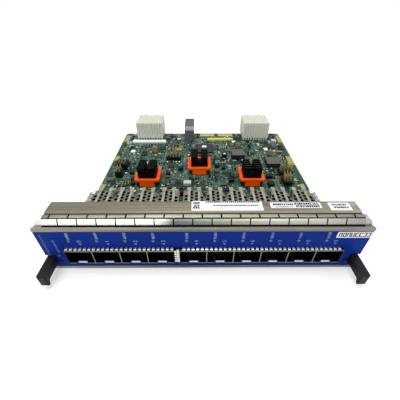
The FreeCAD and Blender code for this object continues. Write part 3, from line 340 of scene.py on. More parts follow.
boardLook = {   # a cloud is its scale, and where it starts and ends; dots are scale, radius and share
    "mask": ((0.0025, 0.029, 0.018), (0.012, 0.060, 0.040)), "maskCloud": (75, 0.35, 0.65),
    "trace": (0.055, 0.140, 0.095), "traces": (("X", 420, (60, 0.48, 0.56)), ("Y", 300, (75, 0.50, 0.58))),
    "wave": {"Distortion": 2.2, "Detail Scale": 0.4}, "waveCut": 0.72,
    "pad": (0.36, 0.33, 0.20), "padDots": (520, 0.30, 0.35),
    "print": (0.60, 0.66, 0.63), "printDots": (260, 0.26, 0.30), "printCloud": (90, 0.46, 0.50),
    "rough": (0.30, 0.46), "roughCloud": (300, 0.3, 0.7), "shine": 0.15,
    "bump": {"Strength": 0.15, "Distance": 0.05 * mm}, "bumpCloud": (900, 0.3, 0.7),
}


def boardFinish():
    want = boardLook
    tree, shader, where = newMaterial("boardGreen")

    def cloud(scale, low, high):
        noise = addNode(tree, "ShaderNodeTexNoise", {"Scale": scale})
        cut = addNode(tree, "ShaderNodeMapRange", {"From Min": low, "From Max": high})
        join(tree, (where, noise.inputs["Vector"]), (noise.outputs["Fac"], cut.inputs["Value"]))
        return cut.outputs["Result"]

    def compared(value, way, level):
        node = addNode(tree, "ShaderNodeMath", {1: level}, operation=way)
        join(tree, (value, node.inputs[0]))
        return node.outputs[0]

    def both(first, second):
        node = addNode(tree, "ShaderNodeMath", operation="MULTIPLY")
        join(tree, (first, node.inputs[0]), (second, node.inputs[1]))
        return node.outputs[0]

    def lines(direction, scale):
        wave = addNode(tree, "ShaderNodeTexWave", {"Scale": scale, **want["wave"]}, bands_direction=direction)
        join(tree, (where, wave.inputs["Vector"]))
        return compared(wave.outputs["Fac"], "GREATER_THAN", want["waveCut"])

    def dots(scale, radius, share):
        cells = addNode(tree, "ShaderNodeTexVoronoi", {"Scale": scale})
        pick = addNode(tree, "ShaderNodeSeparateColor")
        join(tree, (where, cells.inputs["Vector"]), (cells.outputs["Color"], pick.inputs[0]))
        return both(compared(cells.outputs["Distance"], "LESS_THAN", radius),
                    compared(pick.outputs["Red"], "LESS_THAN", share))

    colour = mixed(tree, "MIX", cloud(*want["maskCloud"]), *want["mask"])
    for direction, scale, shown in want["traces"]:
        colour = mixed(tree, "MIX", both(lines(direction, scale), cloud(*shown)), colour, want["trace"])
    colour = mixed(tree, "MIX", dots(*want["padDots"]), colour, want["pad"])
    printed = both(dots(*want["printDots"]), cloud(*want["printCloud"]))
    colour = mixed(tree, "MIX", printed, colour, want["print"])
    low, high = want["rough"]
    rough = addNode(tree, "ShaderNodeMapRange", {"To Min": low, "To Max": high})
    relief = addNode(tree, "ShaderNodeBump", want["bump"])
    join(tree, (colour, shader.inputs["Base Color"]), (cloud(*want["roughCloud"]), rough.inputs["Value"]),
         (rough.outputs["Result"], shader.inputs["Roughness"]),
         (cloud(*want["bumpCloud"]), relief.inputs["Height"]), (relief.outputs["Normal"], shader.inputs["Normal"]))
    shader.inputs["Specular IOR Level"].default_value = want["shine"]


nodeFinishes = {
    "hoodSteel": ["top_hood"],
    "rimSteel": ["faceplate"],
    "endSilver": ["strip_end_left", "strip_end_right"],
    "springBright": ["spring_strip", "spring_collar_left", "spring_collar_right"],
    "faceBlue": ["face_overlay"],
    "boardGreen": ["circuit_board", "light_board"],
    "cageMetal": ["cage_cover_left", "cage_cover_right"],
    "connectorCream": ["backplane_connector_left", "backplane_connector_right"],
    "whitePlastic": ["connector_bar"],
    "guideGrey": ["guide_block"],
    "clipOrange": ["sink_clip_left", "sink_clip_middle", "sink_clip_right"],
    "sinkBlack": ["heat_sink_left", "heat_sink_middle", "heat_sink_right"],
    "leverBlack": ["ejector_lever_left", "ejector_lever_right"],
    "chipGrey": ["chip_left", "chip_middle", "chip_right", "memory_chip"],
    "blackPlastic": ["box_header", "narrow_header", "side_header", "front_header", "pin_header"],
    # the host connectors deep in the ports: black plastic, made as dark as the painted shade around them
    "darkHollow": ["port_connectors_left", "port_connectors_right"],
    "screwBlue": ["bracket_screws"],
    "ferrite": ["inductor_left", "inductor_right"],
    "busYellow": ["bus_bar"],
    "lensClear": ["light_pipe_left", "light_pipe_right", "status_lens"],
    "screwSteel": ["flange_screws", "flange_spacers", "corner_screw", "corner_post",
                   "pivot_pin_left", "pivot_pin_right", "pivot_bracket_left", "pivot_bracket_right"],
}


# the bases and dividers of the cages are the rest, in port metal with painted shade inside the ports
def dressNodes():
    chosen = {node: name for name, group in nodeFinishes.items() for node in group}
    for node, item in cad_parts.items():
        item.data.materials.clear()
        item.data.materials.append(finish(chosen.get(node, "portMetal")))


boardFinish()
dressNodes()
print("finishes on the plain nodes")


# Mesh helpers, in millimetres until a piece is made

def span(node):
    low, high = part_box(node)
    return [(a / mm, b / mm) for a, b in zip(low, high)]


def about(middle, size):
    return middle - size / 2, middle + size / 2


def inMetres(point):
    return tuple(value * mm for value in point)


def addBox(bm, xs, ys, zs, tag=0):
    corners = [bm.verts.new((x, y, z)) for z in zs for y in ys for x in xs]
    for face in ((0, 2, 3, 1), (4, 5, 7, 6), (0, 1, 5, 4), (2, 6, 7, 3), (0, 4, 6, 2), (1, 3, 7, 5)):
        bm.faces.new([corners[index] for index in face]).material_index = tag
    return bm


def addPrism(bm, outline, axis, near, far, tag=0):
    order = {"x": (2, 0, 1), "y": (0, 2, 1), "z": (0, 1, 2)}[axis]
    rings = [[bm.verts.new([(a, b, c)[index] for index in order]) for a, b in outline] for c in (near, far)]
    sides = [(rings[0][i - 1], rings[1][i - 1], rings[1][i], rings[0][i]) for i in range(len(outline))]
    for loop in [rings[0], rings[1][::-1]] + sides:
        bm.faces.new(loop).material_index = tag
    return bm


def addRod(bm, base, radius, tall, sides=20):
    middle = Matrix.Translation(base) @ Matrix.Translation((0, 0, tall / 2))
    bmesh.ops.create_cone(bm, cap_ends=True, segments=sides, radius1=radius, radius2=radius, depth=tall,
                          matrix=middle)
    return bm


def boxShape(xs, ys, zs):
    return addBox(bmesh.new(), xs, ys, zs)


def prismShape(outline, axis, near, far):
    return addPrism(bmesh.new(), outline, axis, near, far)


def unitBox():
    return boxShape((-0.5, 0.5), (-0.5, 0.5), (0, 1))


def arc(centre, radius, start, end, steps=6):
    angles = [math.radians(start + (end - start) * index / steps) for index in range(steps + 1)]
    return [(centre[0] + radius * math.cos(a), centre[1] + radius * math.sin(a)) for a in angles]


def roundedBox(xs, ys, radius, steps=4):
    (x0, x1), (y0, y1) = xs, ys
    corners = (((x1 - radius, y1 - radius), 0), ((x0 + radius, y1 - radius), 90),
               ((x0 + radius, y0 + radius), 180), ((x1 - radius, y0 + radius), 270))
    return [point for centre, start in corners for point in arc(centre, radius, start, start + 90, steps)]


def ringShape(radius, wire, sides=16, wireSides=6):
    bm, circle = bmesh.new(), arc((0, 0), 1, 0, 360, sides)[:-1]
    bend = arc((radius, 0), wire, 0, 360, wireSides)[:-1]
    loops = [[bm.verts.new((x * out, y * out, z)) for out, z in bend] for x, y in circle]
    for index in range(sides):
        for j in range(wireSides):
            bm.faces.new((loops[index - 1][j - 1], loops[index][j - 1], loops[index][j], loops[index - 1][j]))
    return bm


# the outline of a bent sheet, from the points of one side
def thickened(points, wall):
    inner = []
    for index, (a, b) in enumerate(points):
        before, after = points[max(index - 1, 0)], points[min(index + 1, len(points) - 1)]
        run = Vector((after[0] - before[0], after[1] - before[1])).normalized()
        inner.append((a - run.y * wall, b + run.x * wall))
    return points + tuple(inner[::-1])


edgeLook = {"sharpAngle": 35, "bevelAngle": 32, "bevelSteps": 2}


def asMesh(name, bm):
    bmesh.ops.recalc_face_normals(bm, faces=bm.faces[:])
    bmesh.ops.scale(bm, vec=(mm, mm, mm), verts=bm.verts[:])
    mesh = bpy.data.meshes.new(name)
    bm.to_mesh(mesh)
    bm.free()
    mesh.polygons.foreach_set("use_smooth", [True] * len(mesh.polygons))
    mesh.set_sharp_from_angle(angle=math.radians(edgeLook["sharpAngle"]))
    return mesh


def settle(item, stands):
    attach(item, "root")
    if stands:
        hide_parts(*stands)
    return item


def makePiece(name, bm, looks, stands=(), bevel=0):
    item = addObject(name, asMesh(name, bm))
    for look in [looks] if isinstance(looks, str) else looks:
        item.data.materials.append(finish(look))
    if bevel:
        edges = item.modifiers.new("edges", "BEVEL")
        edges.width, edges.segments, edges.limit_method = bevel * mm, edgeLook["bevelSteps"], "ANGLE"
        edges.angle_limit, edges.harden_normals = math.radians(edgeLook["bevelAngle"]), True
    return settle(item, stands)


# Geometry Nodes trees for what repeats

def newTree(name, wanted):
    tree = bpy.data.node_groups.new(name, "GeometryNodeTree")
    sockets = [("Geometry", "INPUT", "Geometry")] + [(label, "INPUT", kind) for label, kind in wanted.items()]
    for label, way, kind in sockets + [("Geometry", "OUTPUT", "Geometry")]:
        tree.interface.new_socket(label, in_out=way, socket_type="NodeSocket" + kind)
    given, out = addNode(tree, "NodeGroupInput"), addNode(tree, "NodeGroupOutput")
    return tree, given.outputs, out.inputs["Geometry"]


def addNodes(tree, *kinds):
    return [addNode(tree, "GeometryNode" + kind) for kind in kinds]


def endTree(tree, shapes, given, out):
    plain, dress = addNodes(tree, "RealizeInstances", "SetMaterial")
    join(tree, (shapes, plain.inputs["Geometry"]), (plain.outputs[0], dress.inputs["Geometry"]),
         (given["Finish"], dress.inputs["Material"]), (dress.outputs[0], out))
    return tree


# a shape in rows: a line of copies, and a line of those lines
def rowsTree():
    tree, given, out = newTree("shapeRows", {
        "Shape": "Object", "Start": "Vector", "Step": "Vector", "Count": "Int", "Row step": "Vector", "Rows": "Int",
        "Finish": "Material"})
    line, stack, spread, plain, shape, copies = addNodes(
        tree, "MeshLine", "MeshLine", "InstanceOnPoints", "RealizeInstances", "ObjectInfo", "InstanceOnPoints")
    join(tree, (given["Count"], line.inputs["Count"]), (given["Start"], line.inputs["Start Location"]),
         (given["Step"], line.inputs["Offset"]), (given["Rows"], stack.inputs["Count"]),
         (given["Row step"], stack.inputs["Offset"]), (stack.outputs[0], spread.inputs["Points"]),
         (line.outputs[0], spread.inputs["Instance"]), (spread.outputs[0], plain.inputs["Geometry"]),
         (plain.outputs[0], copies.inputs["Points"]), (given["Shape"], shape.inputs["Object"]),
         (shape.outputs["Geometry"], copies.inputs["Instance"]))
    return endTree(tree, copies.outputs[0], given, out)


# a shape on the host's points, turned and sized by their attributes
def placedTree():
    tree, given, out = newTree("shapesPlaced", {"Shape": "Object", "Finish": "Material"})
    shape, copies = addNodes(tree, "ObjectInfo", "InstanceOnPoints")
    size, turn = (addNode(tree, "GeometryNodeInputNamedAttribute", {"Name": name}, data_type=kind)
                  for name, kind in (("size", "FLOAT_VECTOR"), ("turn", "FLOAT")))
    spin = addNode(tree, "ShaderNodeCombineXYZ")
    join(tree, (given["Geometry"], copies.inputs["Points"]), (given["Shape"], shape.inputs["Object"]),
         (shape.outputs["Geometry"], copies.inputs["Instance"]), (size.outputs[0], copies.inputs["Scale"]),
         (turn.outputs[0], spin.inputs["Z"]), (spin.outputs[0], copies.inputs["Rotation"]))
    return endTree(tree, copies.outputs[0], given, out)


# a flat sheet inside the host's outline, with a round hole at each point of another mesh
def sheetTree():
    tree, given, out = newTree("piercedSheet", {"Holes": "Object", "Radius": "Float", "Height": "Vector",
                                                "Thickness": "Vector", "Finish": "Material"})
    edge, fill, points, copies, both, plain, under, whole, lift = addNodes(
        tree, "MeshToCurve", "FillCurve", "ObjectInfo", "InstanceOnPoints", "JoinGeometry", "RealizeInstances",
        "FlipFaces", "JoinGeometry", "Transform")
    hole = addNode(tree, "GeometryNodeCurvePrimitiveCircle", {"Resolution": 12})
    raised = addNode(tree, "GeometryNodeExtrudeMesh", {"Individual": False})
    weld = addNode(tree, "GeometryNodeMergeByDistance", {"Distance": 0.01 * mm})
    join(tree, (given["Holes"], points.inputs["Object"]), (given["Radius"], hole.inputs["Radius"]),
         (points.outputs["Geometry"], copies.inputs["Points"]), (hole.outputs[0], copies.inputs["Instance"]),
         (copies.outputs[0], plain.inputs["Geometry"]), (given["Geometry"], edge.inputs["Mesh"]),
         (edge.outputs[0], both.inputs[0]), (plain.outputs[0], both.inputs[0]), (both.outputs[0], fill.inputs[0]),
         (fill.outputs[0], raised.inputs["Mesh"]), (given["Thickness"], raised.inputs["Offset"]),
         (fill.outputs[0], under.inputs["Mesh"]), (raised.outputs["Mesh"], whole.inputs[0]),
         (under.outputs[0], whole.inputs[0]), (whole.outputs[0], weld.inputs["Geometry"]),
         (weld.outputs[0], lift.inputs["Geometry"]), (given["Height"], lift.inputs["Translation"]))
    return endTree(tree, lift.outputs[0], given, out)


trees = {"rows": rowsTree(), "placed": placedTree(), "sheet": sheetTree()}


def plainMesh(item):
    return bpy.data.meshes.new_from_object(item.evaluated_get(bpy.context.evaluated_depsgraph_get()))


def bake(name, kind, host, values, stands=(), slot=None):
    tree = trees[kind]
    item = addObject(name, host or bpy.data.meshes.new(name))
    maker = item.modifiers.new("maker", "NODES")
    maker.node_group = tree
    for label, value in values.items():
        maker[tree.interface.items_tree[label].identifier] = value
    mesh = plainMesh(item)
    item.modifiers.remove(maker)
    item.data = mesh
    mesh.name = name
    for value in values.values():
        if isinstance(value, bpy.types.Object):
            bpy.data.objects.remove(value)
    return settle(item, stands)


def template(bm):
    return addObject("template", asMesh("template", bm))


def makeRows(name, shape, look, start, step, count, rowStep=(0, 0, 0), rows=1, **more):
    return bake(name, "rows", None, {
        "Shape": template(shape), "Start": inMetres(start), "Step": inMetres(step), "Count": count,
        "Row step": inMetres(rowStep), "Rows": rows, "Finish": finish(look)}, **more)


# places: (x, y, z, turn in degrees, (size, size, size))
def makePlaced(name, shape, look, places, **more):
    host = bpy.data.meshes.new(name + "Points")
    host.from_pydata([inMetres(place[:3]) for place in places], [], [])
    turn = host.attributes.new("turn", "FLOAT", "POINT")
    size = host.attributes.new("size", "FLOAT_VECTOR", "POINT")
    turn.data.foreach_set("value", [math.radians(place[3]) for place in places])
    size.data.foreach_set("vector", [value for place in places for value in place[4]])
    return bake(name, "placed", host, {"Shape": template(shape), "Finish": finish(look)}, **more)


# Hood: a folded sheet with a rounded front edge, closed at its ends

hood = {
    "top": 34.78, "wall": 0.8, "frontRound": 0.9, "backRound": 0.6, "back": 0.8,
    "inside": (0.6, 0.5, 0.6),   # how much of the wall the inner rounds and the inner top go in
}


def makeHood():
    (x0, x1), (y0, y1), (z0, _) = span("top_hood")
    top, wall, front, rear = (hood[key] for key in ("top", "wall", "frontRound", "backRound"))
    frontIn, rearIn, topIn = hood["inside"]
    y0, y1 = y0 + hood["back"], y1 + hood["back"]

    def shell(inset):
        return ([(y0 + inset, z0)] + arc((y0 + front, top - front), front - inset * frontIn, 180, 90)
                + arc((y1 - rear, top - rear), rear - inset * rearIn, 90, 0) + [(y1 - inset, z0)])
    outer, inner = shell(0), [(y, z - wall * topIn if z > z0 + 1 else z) for y, z in shell(wall)]
    bm = prismShape(outer + inner[::-1], "x", x0 + wall, x1 - wall)
    for near, far in ((x0, x0 + wall), (x1 - wall, x1)):
        addPrism(bm, outer, "x", near, far)
    makePiece("hoodShell", bm, "hoodSteel", ("top_hood",), bevel=0.12)


makeHood()


# Labels on the hood and the face, with plain blocks and rows of marks for print

labels = {
    "thick": 0.03, "round": 0.5, "tagRound": 0.25, "ink": 0.01, "tagInk": 0.012,
    # places across and back in mm; the print is (from, to, near, far, kind, marks)
    "hood": {
        "labelLarge": ((-6.2, 30.4), (8.5, 16.1), (
            (-5.4, -2.0, 13.9, 15.1, "bar", 1), (-5.1, -2.1, 11.8, 13.2, "block", 3),
            (-5.5, -1.9, 10.1, 11.6, "block", 3), (1.0, 29.4, 14.8, 16.0, "block", 26),
            (4.9, 28.2, 11.9, 13.1, "grey", 22))),
        "labelMedium": ((34.4, 60.6), (10.4, 14.9), (
            (35.8, 46.6, 12.6, 14.0, "block", 10), (47.0, 59.6, 12.9, 14.5, "block", 11),
            (47.2, 59.8, 11.0, 12.5, "block", 11), (36.4, 46.0, 11.0, 11.8, "grey", 9))),
        "labelSmall": ((64.4, 75.4), (8.6, 14.6), (
            (66.0, 73.8, 12.3, 13.6, "block", 8), (66.6, 74.2, 10.2, 11.5, "block", 7))),
    },
    "tag": ((66.6, 84.0), (23.9, 28.1), ((67.3, 83.6, 24.6, 27.5, "block", 8),)),
    # the widest stroke, and its share of a mark's pitch and height; a mark's share of its pitch
    "stroke": (0.54, 0.44, 0.36), "mark": (0.72, 0.92),
    "frames": ((1, 0, 1, 1), (0, 1, 1, 1), (1, 1, 0, 1), (1, 1, 1, 0), (1, 1, 1, 1)),
}


# each mark is the bars of an open frame, so that a row reads as print
def printMarks(rows, rng):
    marks, (widest, ofPitch, ofHeight) = {"block": [], "grey": []}, labels["stroke"]
    for left, right, low, high, kind, count in rows:
        pitch, tall, middle = (right - left) / count, high - low, (low + high) / 2
        if kind == "bar":
            marks["block"].append(((left + right) / 2, middle, right - left, tall))
            continue
        stroke = min(ofPitch * pitch, ofHeight * tall, widest)
        for index in range(count):
            x, wide = left + pitch * (index + 0.5), pitch * rng.uniform(*labels["mark"])
            shape = rng.choice(labels["frames"])
            bars = ((x - wide / 2 + stroke / 2, middle, stroke, tall),
                    (x + wide / 2 - stroke / 2, middle, stroke, tall),
                    (x, high - stroke / 2, wide, stroke), (x, low + stroke / 2, wide, stroke))
            marks[kind] += [bar for bar, drawn in zip(bars, shape) if drawn]
    return marks


def makeLabels():
    rng, thick, top = random.Random(7), labels["thick"], hood["top"]
    for name, (xs, ys, rows) in labels["hood"].items():
        bm = prismShape(roundedBox(xs, ys, labels["round"]), "z", top, top + thick)
        makePiece(name, bm, "labelPaper")
        for kind, marks in printMarks(rows, rng).items():
            if marks:
                makePlaced(name + kind.title(), unitBox(), "labelInk" if kind == "block" else "labelGrey",
                           [(x, y, top + thick, 0, (wide, tall, labels["ink"])) for x, y, wide, tall in marks])
    (xs, zs, rows) = labels["tag"]
    bm = prismShape(roundedBox(xs, zs, labels["tagRound"]), "y", -thick, -0.001)
    makePiece("faceTag", bm, "labelPaper")
    bm = bmesh.new()
    for x, z, wide, tall in printMarks(rows, rng)["block"]:
        addBox(bm, about(x, wide), (-thick - labels["tagInk"], -thick), about(z, tall))
    makePiece("faceTagPrint", bm, "labelInk")


makeLabels()
print("hood and labels made")


# Spring strip: a slotted band behind a dip, and seventeen bowed fingers

strip = {
    "pitch": 9.434, "slots": 16, "shift": -0.71, "slot": 0.62, "halfSlot": 0.75, "wall": 0.25,
    "band": ((6.35, 33.7), (6.35, 34.3), (4.55, 34.26), (4.32, 34.12), (4.22, 33.85), (4.18, 33.50)),
    "finger": ((3.62, 33.52), (3.52, 33.95), (3.25, 34.02), (2.92, 33.62), (2.55, 32.90), (2.24, 31.95),
               (2.10, 31.40), (2.06, 31.12)),
    "leg": ((6.36, 7.18), (31.0, 34.0)),   # the band hangs from it, painted dark as the shade in the groove before the hood
    # painted shade: a dark core behind the fingers and a dark sill before them, so that the gaps between the fingers
    # read as shade
    "core": ((2.75, 30.85), (4.4, 30.85), (6.0, 33.3), (3.75, 33.3)), "sill": ((1.05, 2.35), (30.80, 30.86)),
    "coreShort": 0.2,
}


def makeSprings(name, profile, look, cuts, gap):
    (x0, x1), _, _ = span("spring_strip")
    edges = [x0 - gap / 2] + cuts + [x1 + gap / 2]
    makePlaced(name, prismShape(thickened(profile, strip["wall"]), "x", -0.5, 0.5), look,
               [((a + b) / 2, 0, 0, 0, (b - a - gap, 1, 1)) for a, b in zip(edges, edges[1:])],
               slot="spring_metal")


def makeStrip():
    (x0, x1), _, _ = span("spring_strip")
    pitch = strip["pitch"]
    first = strip["shift"] - pitch * (strip["slots"] - 1) / 2
    cuts = [first + pitch * index for index in range(strip["slots"])]
    half = [cut - pitch / 2 for cut in cuts] + [cuts[-1] + pitch / 2]
    makeSprings("springFingers", strip["finger"], "fingerMetal", cuts, strip["slot"])
    makeSprings("springBand", strip["band"], "bandSteel", half, strip["halfSlot"])
    # painted shade: the leg in the groove, then the core and sill behind and before the fingers
    makePiece("springLeg", boxShape((x0, x1), *strip["leg"]), "darkHollow", ("spring_strip",))
    inner = (x0 + strip["coreShort"], x1 - strip["coreShort"])
    bm = addBox(prismShape(strip["core"], "x", *inner), inner, *strip["sill"])
    makePiece("stripCore", bm, "darkHollow")


makeStrip()
print("spring strip made")


# Print on the face: port numbers, triangles, marks by the lights

ports = {"pitch": 14.25, "left": 4, "right": 6}
facePrint = {
    "number": (1.9, 21.65), "numberTall": 2.94, "thick": 0.02,
    "triangle": ((-0.75, 0.55), (0.75, 0.55), (0.0, -0.75)), "triangleInner": 0.5, "triangleRise": 19.55,
    # columns of marks: place across, lowest, highest, width, marks; by the lights from a port's middle
    "lightMarks": (-3.0, 23.4, 28.1, 1.8, 7),
    "edgeMarks": (-81.6, 10.9, 27.0, 1.3, 22),
    "statusMarks": (-76.2, 13.2, 22.8, 1.6, 12),
    "markTall": (0.35, 0.8), "markLeft": (0.6, 1), "markRight": (0.5, 1),   # shares of pitch and half width
    "stem": (0.45, 0.2, 0.28),   # how often two marks are joined, how far off the middle, how wide
}


def portMiddles(gang):
    start = span("cage_cover_" + gang)[0][0]
    return [start + ports["pitch"] * (index + 0.5) for index in range(ports[gang])]


def addMarks(bm, rng, across, low, high, wide, count):
    pitch, ys = (high - low) / count, (-facePrint["thick"], 0)
    often, off, stem = facePrint["stem"]
    for index in range(count):
        z, tall = low + pitch * index, pitch * rng.uniform(*facePrint["markTall"])
        left = across - wide / 2 * rng.uniform(*facePrint["markLeft"])
        right = across + wide / 2 * rng.uniform(*facePrint["markRight"])
        addBox(bm, (left, right), ys, (z, z + tall))
        if rng.random() < often:
            addBox(bm, about(across + rng.uniform(-off, off), stem), ys, (z, z + pitch))


def makeFacePrint():
    want, rng, thick = facePrint, random.Random(11), facePrint["thick"]
    middles = portMiddles("left") + portMiddles("right")
    out, rise = want["number"]
    bm = bmesh.new()
    for middle in middles:
        across, *column = want["lightMarks"]
        addMarks(bm, rng, middle + across, *column)
        points = [Vector((middle + out + x, want["triangleRise"] + z)) for x, z in want["triangle"]]
        centre = sum(points, Vector((0, 0))) / 3
        inner = [centre + (point - centre) * want["triangleInner"] for point in points]
        for index in range(3):
            loop = (points[index - 1], points[index], inner[index], inner[index - 1])
            addPrism(bm, [tuple(point) for point in loop], "y", -thick, 0)
    addMarks(bm, rng, *want["edgeMarks"])
    addMarks(bm, rng, *want["statusMarks"])
    makePiece("facePrint", bm, "facePrint")

    upright = Matrix.Rotation(math.radians(90), 4, "X") @ Matrix.Rotation(math.radians(90), 4, "Z")
    for index, middle in enumerate(middles):
        words = bpy.data.curves.new("digit", "FONT")
        words.body, words.size, words.extrude = str(index), want["numberTall"], thick / 2
        words.align_x, words.align_y = "CENTER", "CENTER"
        holder = addObject("digit", words)
        mesh = plainMesh(holder)
        bpy.data.objects.remove(holder)
        mesh.transform(Matrix.Scale(mm, 4) @ Matrix.Translation((middle + out, -thick / 2, rise)) @ upright)
        mesh.materials.clear()
        mesh.materials.append(finish("facePrint"))
        settle(addObject("portNumber%d" % index, mesh), ())


makeFacePrint()
print("face print made")


# Port gangs: pierced covers, spring collars with leaves, mouths painted dark as shade, and latch lips

gangs = {
    "wall": 0.4, "front": -1.8, "back": 50.4, "notch": (5.2, 9.4),
    "insideWalls": (2, 4),   # how many walls the inside starts before the mouth, and ends before a notch
    "tabs": {"out": 3.3, "wide": 2.6, "wall": 0.3, "flat": (49.9, 0.02), "roll": (53.4, -0.9), "radius": 0.95},
    "strips": {"wide": 1.6, "back": (33.0, 50.2), "rise": (0.01, 0.12)},
    # columns: across from a port's middle, and how much later the column starts
    "holes": {"radius": 1.32, "clear": 1.1, "columns": ((-5.15, 1.6), (-1.7, 0), (1.7, 1.6), (5.15, 0)),
              "rows": (13.6, 16.9, 20.2, 23.5, 26.7, 30.0, 33.2, 36.4, 39.6, 42.8, 46.0, 48.8)},
    # painted reflection: the collar leaves are greyish on the left gang and bright white on the right
    "leaf": {"pitch": 2.375, "wide": 1.4, "look": {"left": "lipSteel", "right": "springBright"},
             "profile": ((-1.66, 0.68), (-1.45, 0.88), (-0.9, 1.02), (-0.15, 1.08), (0.3, 0.92), (0.3, 0.72),
                         (-0.8, 0.80), (-1.3, 0.66), (-1.55, 0.58))},
    "sideLeaf": {"rows": (35.6, 39.4, 43.2, 47.0), "deep": 2.6, "low": 12.6, "wall": 0.25, "root": 0.3,
                 "tip": ((3.65, -0.9), (3.4, -0.5), (0.9, -0.2))},   # out, and from the cover's top
    "cornerRoll": {"back": (46.6, 50.6), "radius": 1.3, "centre": (0.3, -0.5)},
    "collar": {"out": 0.42, "side": 0.1, "front": -1.4, "back": 3.6, "lowBack": 1.9},
    # past the sides, from front to back, and from the cover's top
    "mouthLip": (0, (-1.95, -1.55), (-0.05, 0.45)), "shade": (0.3, (-1.5, -0.03), (0.1, 0.47)),
    "lip": {"wide": 4.6, "shift": 0.25, "profile": ((-1.50, 6.5), (-1.22, 6.5), (-1.02, 7.32), (-1.26, 7.38))},
    "gap": {"strip": (1.5, 0.05), "stripBack": (-1.75, -0.9), "side": 0.05, "back": (-1.45, -0.02),
            "low": 0.6, "high": (0.6, 0.4), "leaf": ((0.1, 1.62), (-1.7, -1.4), 1.25), "rows": (0.9, 1.9, 5)},
}


def gangSpan(gang):
    (x0, x1), _, (z0, z1) = span("cage_cover_" + gang)
    return x0, x1, z0, z1


def gangOutline(gang, inset):
    x0, x1, _, _ = gangSpan(gang)
    (wide, deep), (mouth, point), back = gangs["notch"], gangs["insideWalls"], gangs["back"] - inset
    front = gangs["front"] - mouth * inset
    outline = [(x0 + inset, front), (x1 - inset, front), (x1 - inset, back)]
    for index in reversed(range(1, ports[gang])):
        middle = x0 + ports["pitch"] * index
        outline += [(middle + wide / 2 + inset, back), (middle, gangs["back"] - deep - point * inset),
                    (middle - wide / 2 - inset, back)]
    return outline + [(x0 + inset, back)]


def makeCoverTop(gang, outline, low, high):
    holes, (wide, deep) = gangs["holes"], gangs["notch"]
    points = []
    for middle in portMiddles(gang):
        for y in holes["rows"]:
            notched = max(0, (y + 1 - gangs["back"] + deep) / deep)
            room = ports["pitch"] / 2 - wide / 2 * notched - holes["clear"]
            points += [(middle + x, y + late, 0) for x, late in holes["columns"]
                       if abs(x) < room and y + late < holes["rows"][-1] + 0.1]
    spots, edge, count = bpy.data.meshes.new("holes"), bpy.data.meshes.new("edge"), len(outline)
    spots.from_pydata([inMetres(point) for point in points], [], [])
    edge.from_pydata([inMetres((x, y, 0)) for x, y in outline], [(i, (i + 1) % count) for i in range(count)], [])
    bake("cageTop_" + gang, "sheet", edge, {
        "Holes": addObject("holes", spots), "Radius": holes["radius"] * mm, "Height": inMetres((0, 0, low)),
        "Thickness": inMetres((0, 0, high - low)), "Finish": finish("cageMetal")},
        stands=("cage_cover_" + gang,), slot="cage_metal")


def makeCover(gang):
    _, _, z0, z1 = gangSpan(gang)
    wall, tabs, strips = gangs["wall"], gangs["tabs"], gangs["strips"]
    outer, inner = gangOutline(gang, 0), gangOutline(gang, wall)
    bm = bmesh.new()   # walls, pale outside and painted dark inside as shade, with an open mouth
    low, high, lowIn, highIn = ([bm.verts.new((x, y, z)) for x, y in loop]
                                for loop in (outer, inner) for z in (z0, z1 - wall))
    for index in [0, *range(2, len(outer))]:
        for near, far, tag in ((low, high, 0), (highIn, lowIn, 1), (low, lowIn, 0), (high, highIn, 0)):
            bm.faces.new((near[index - 1], near[index], far[index], far[index - 1])).material_index = tag
    makePiece("cageWalls_" + gang, bm, ("cageMetal", "portMetal"))
    makeCoverTop(gang, outer, z1 - wall, z1)

    # rear tabs, flat and then rolled over, and plain strips between the columns of holes, both in the cage metal's
    # painted highlight
    roll = [(tabs["flat"][0], z1 + tabs["flat"][1])]
    roll += arc((tabs["roll"][0], z1 + tabs["roll"][1]), tabs["radius"], 90, -10, 5)
    tab = prismShape(thickened(tuple(roll), tabs["wall"]), "x", *about(0, tabs["wide"]))
    flat = boxShape(about(0, strips["wide"]), strips["back"], [z1 + rise for rise in strips["rise"]])
    places = [(x + side * tabs["out"], 0, 0, 0, (1, 1, 1)) for x in portMiddles(gang) for side in (-1, 1)]
    for name, shape in (("cageTabs_", tab), ("cageStrips_", flat)):
        makePlaced(name + gang, shape, "cageTab", places, slot="cage_metal")


# spring leaves that lean out from the outer side of a gang, and its rolled rear corner
def makeSideLeaves(gang):
    x0, x1, _, z1 = gangSpan(gang)
    side, edge = (-1, x0) if gang == "left" else (1, x1)
    leaf, roll = gangs["sideLeaf"], gangs["cornerRoll"]
    profile = [(0, z1 - leaf["root"]), (0, leaf["low"]), (leaf["wall"], leaf["low"])]
    profile += [(out, z1 + rise) for out, rise in leaf["tip"]]
    bm = bmesh.new()
    for y in leaf["rows"]:
        addPrism(bm, [(edge + side * out, z) for out, z in profile], "y", y, y + leaf["deep"])
    # painted highlight: the side leaves in the lighter copy of the cage metal
    makePiece("sideLeaves_" + gang, bm, "cageTab", bevel=0.08)
    out, rise = roll["centre"]
    bm = prismShape(arc((edge + side * out, z1 + rise), roll["radius"], 0, 360, 14)[:-1], "y", *roll["back"])
    makePiece("cornerRoll_" + gang, bm, "springBright", bevel=0.25)


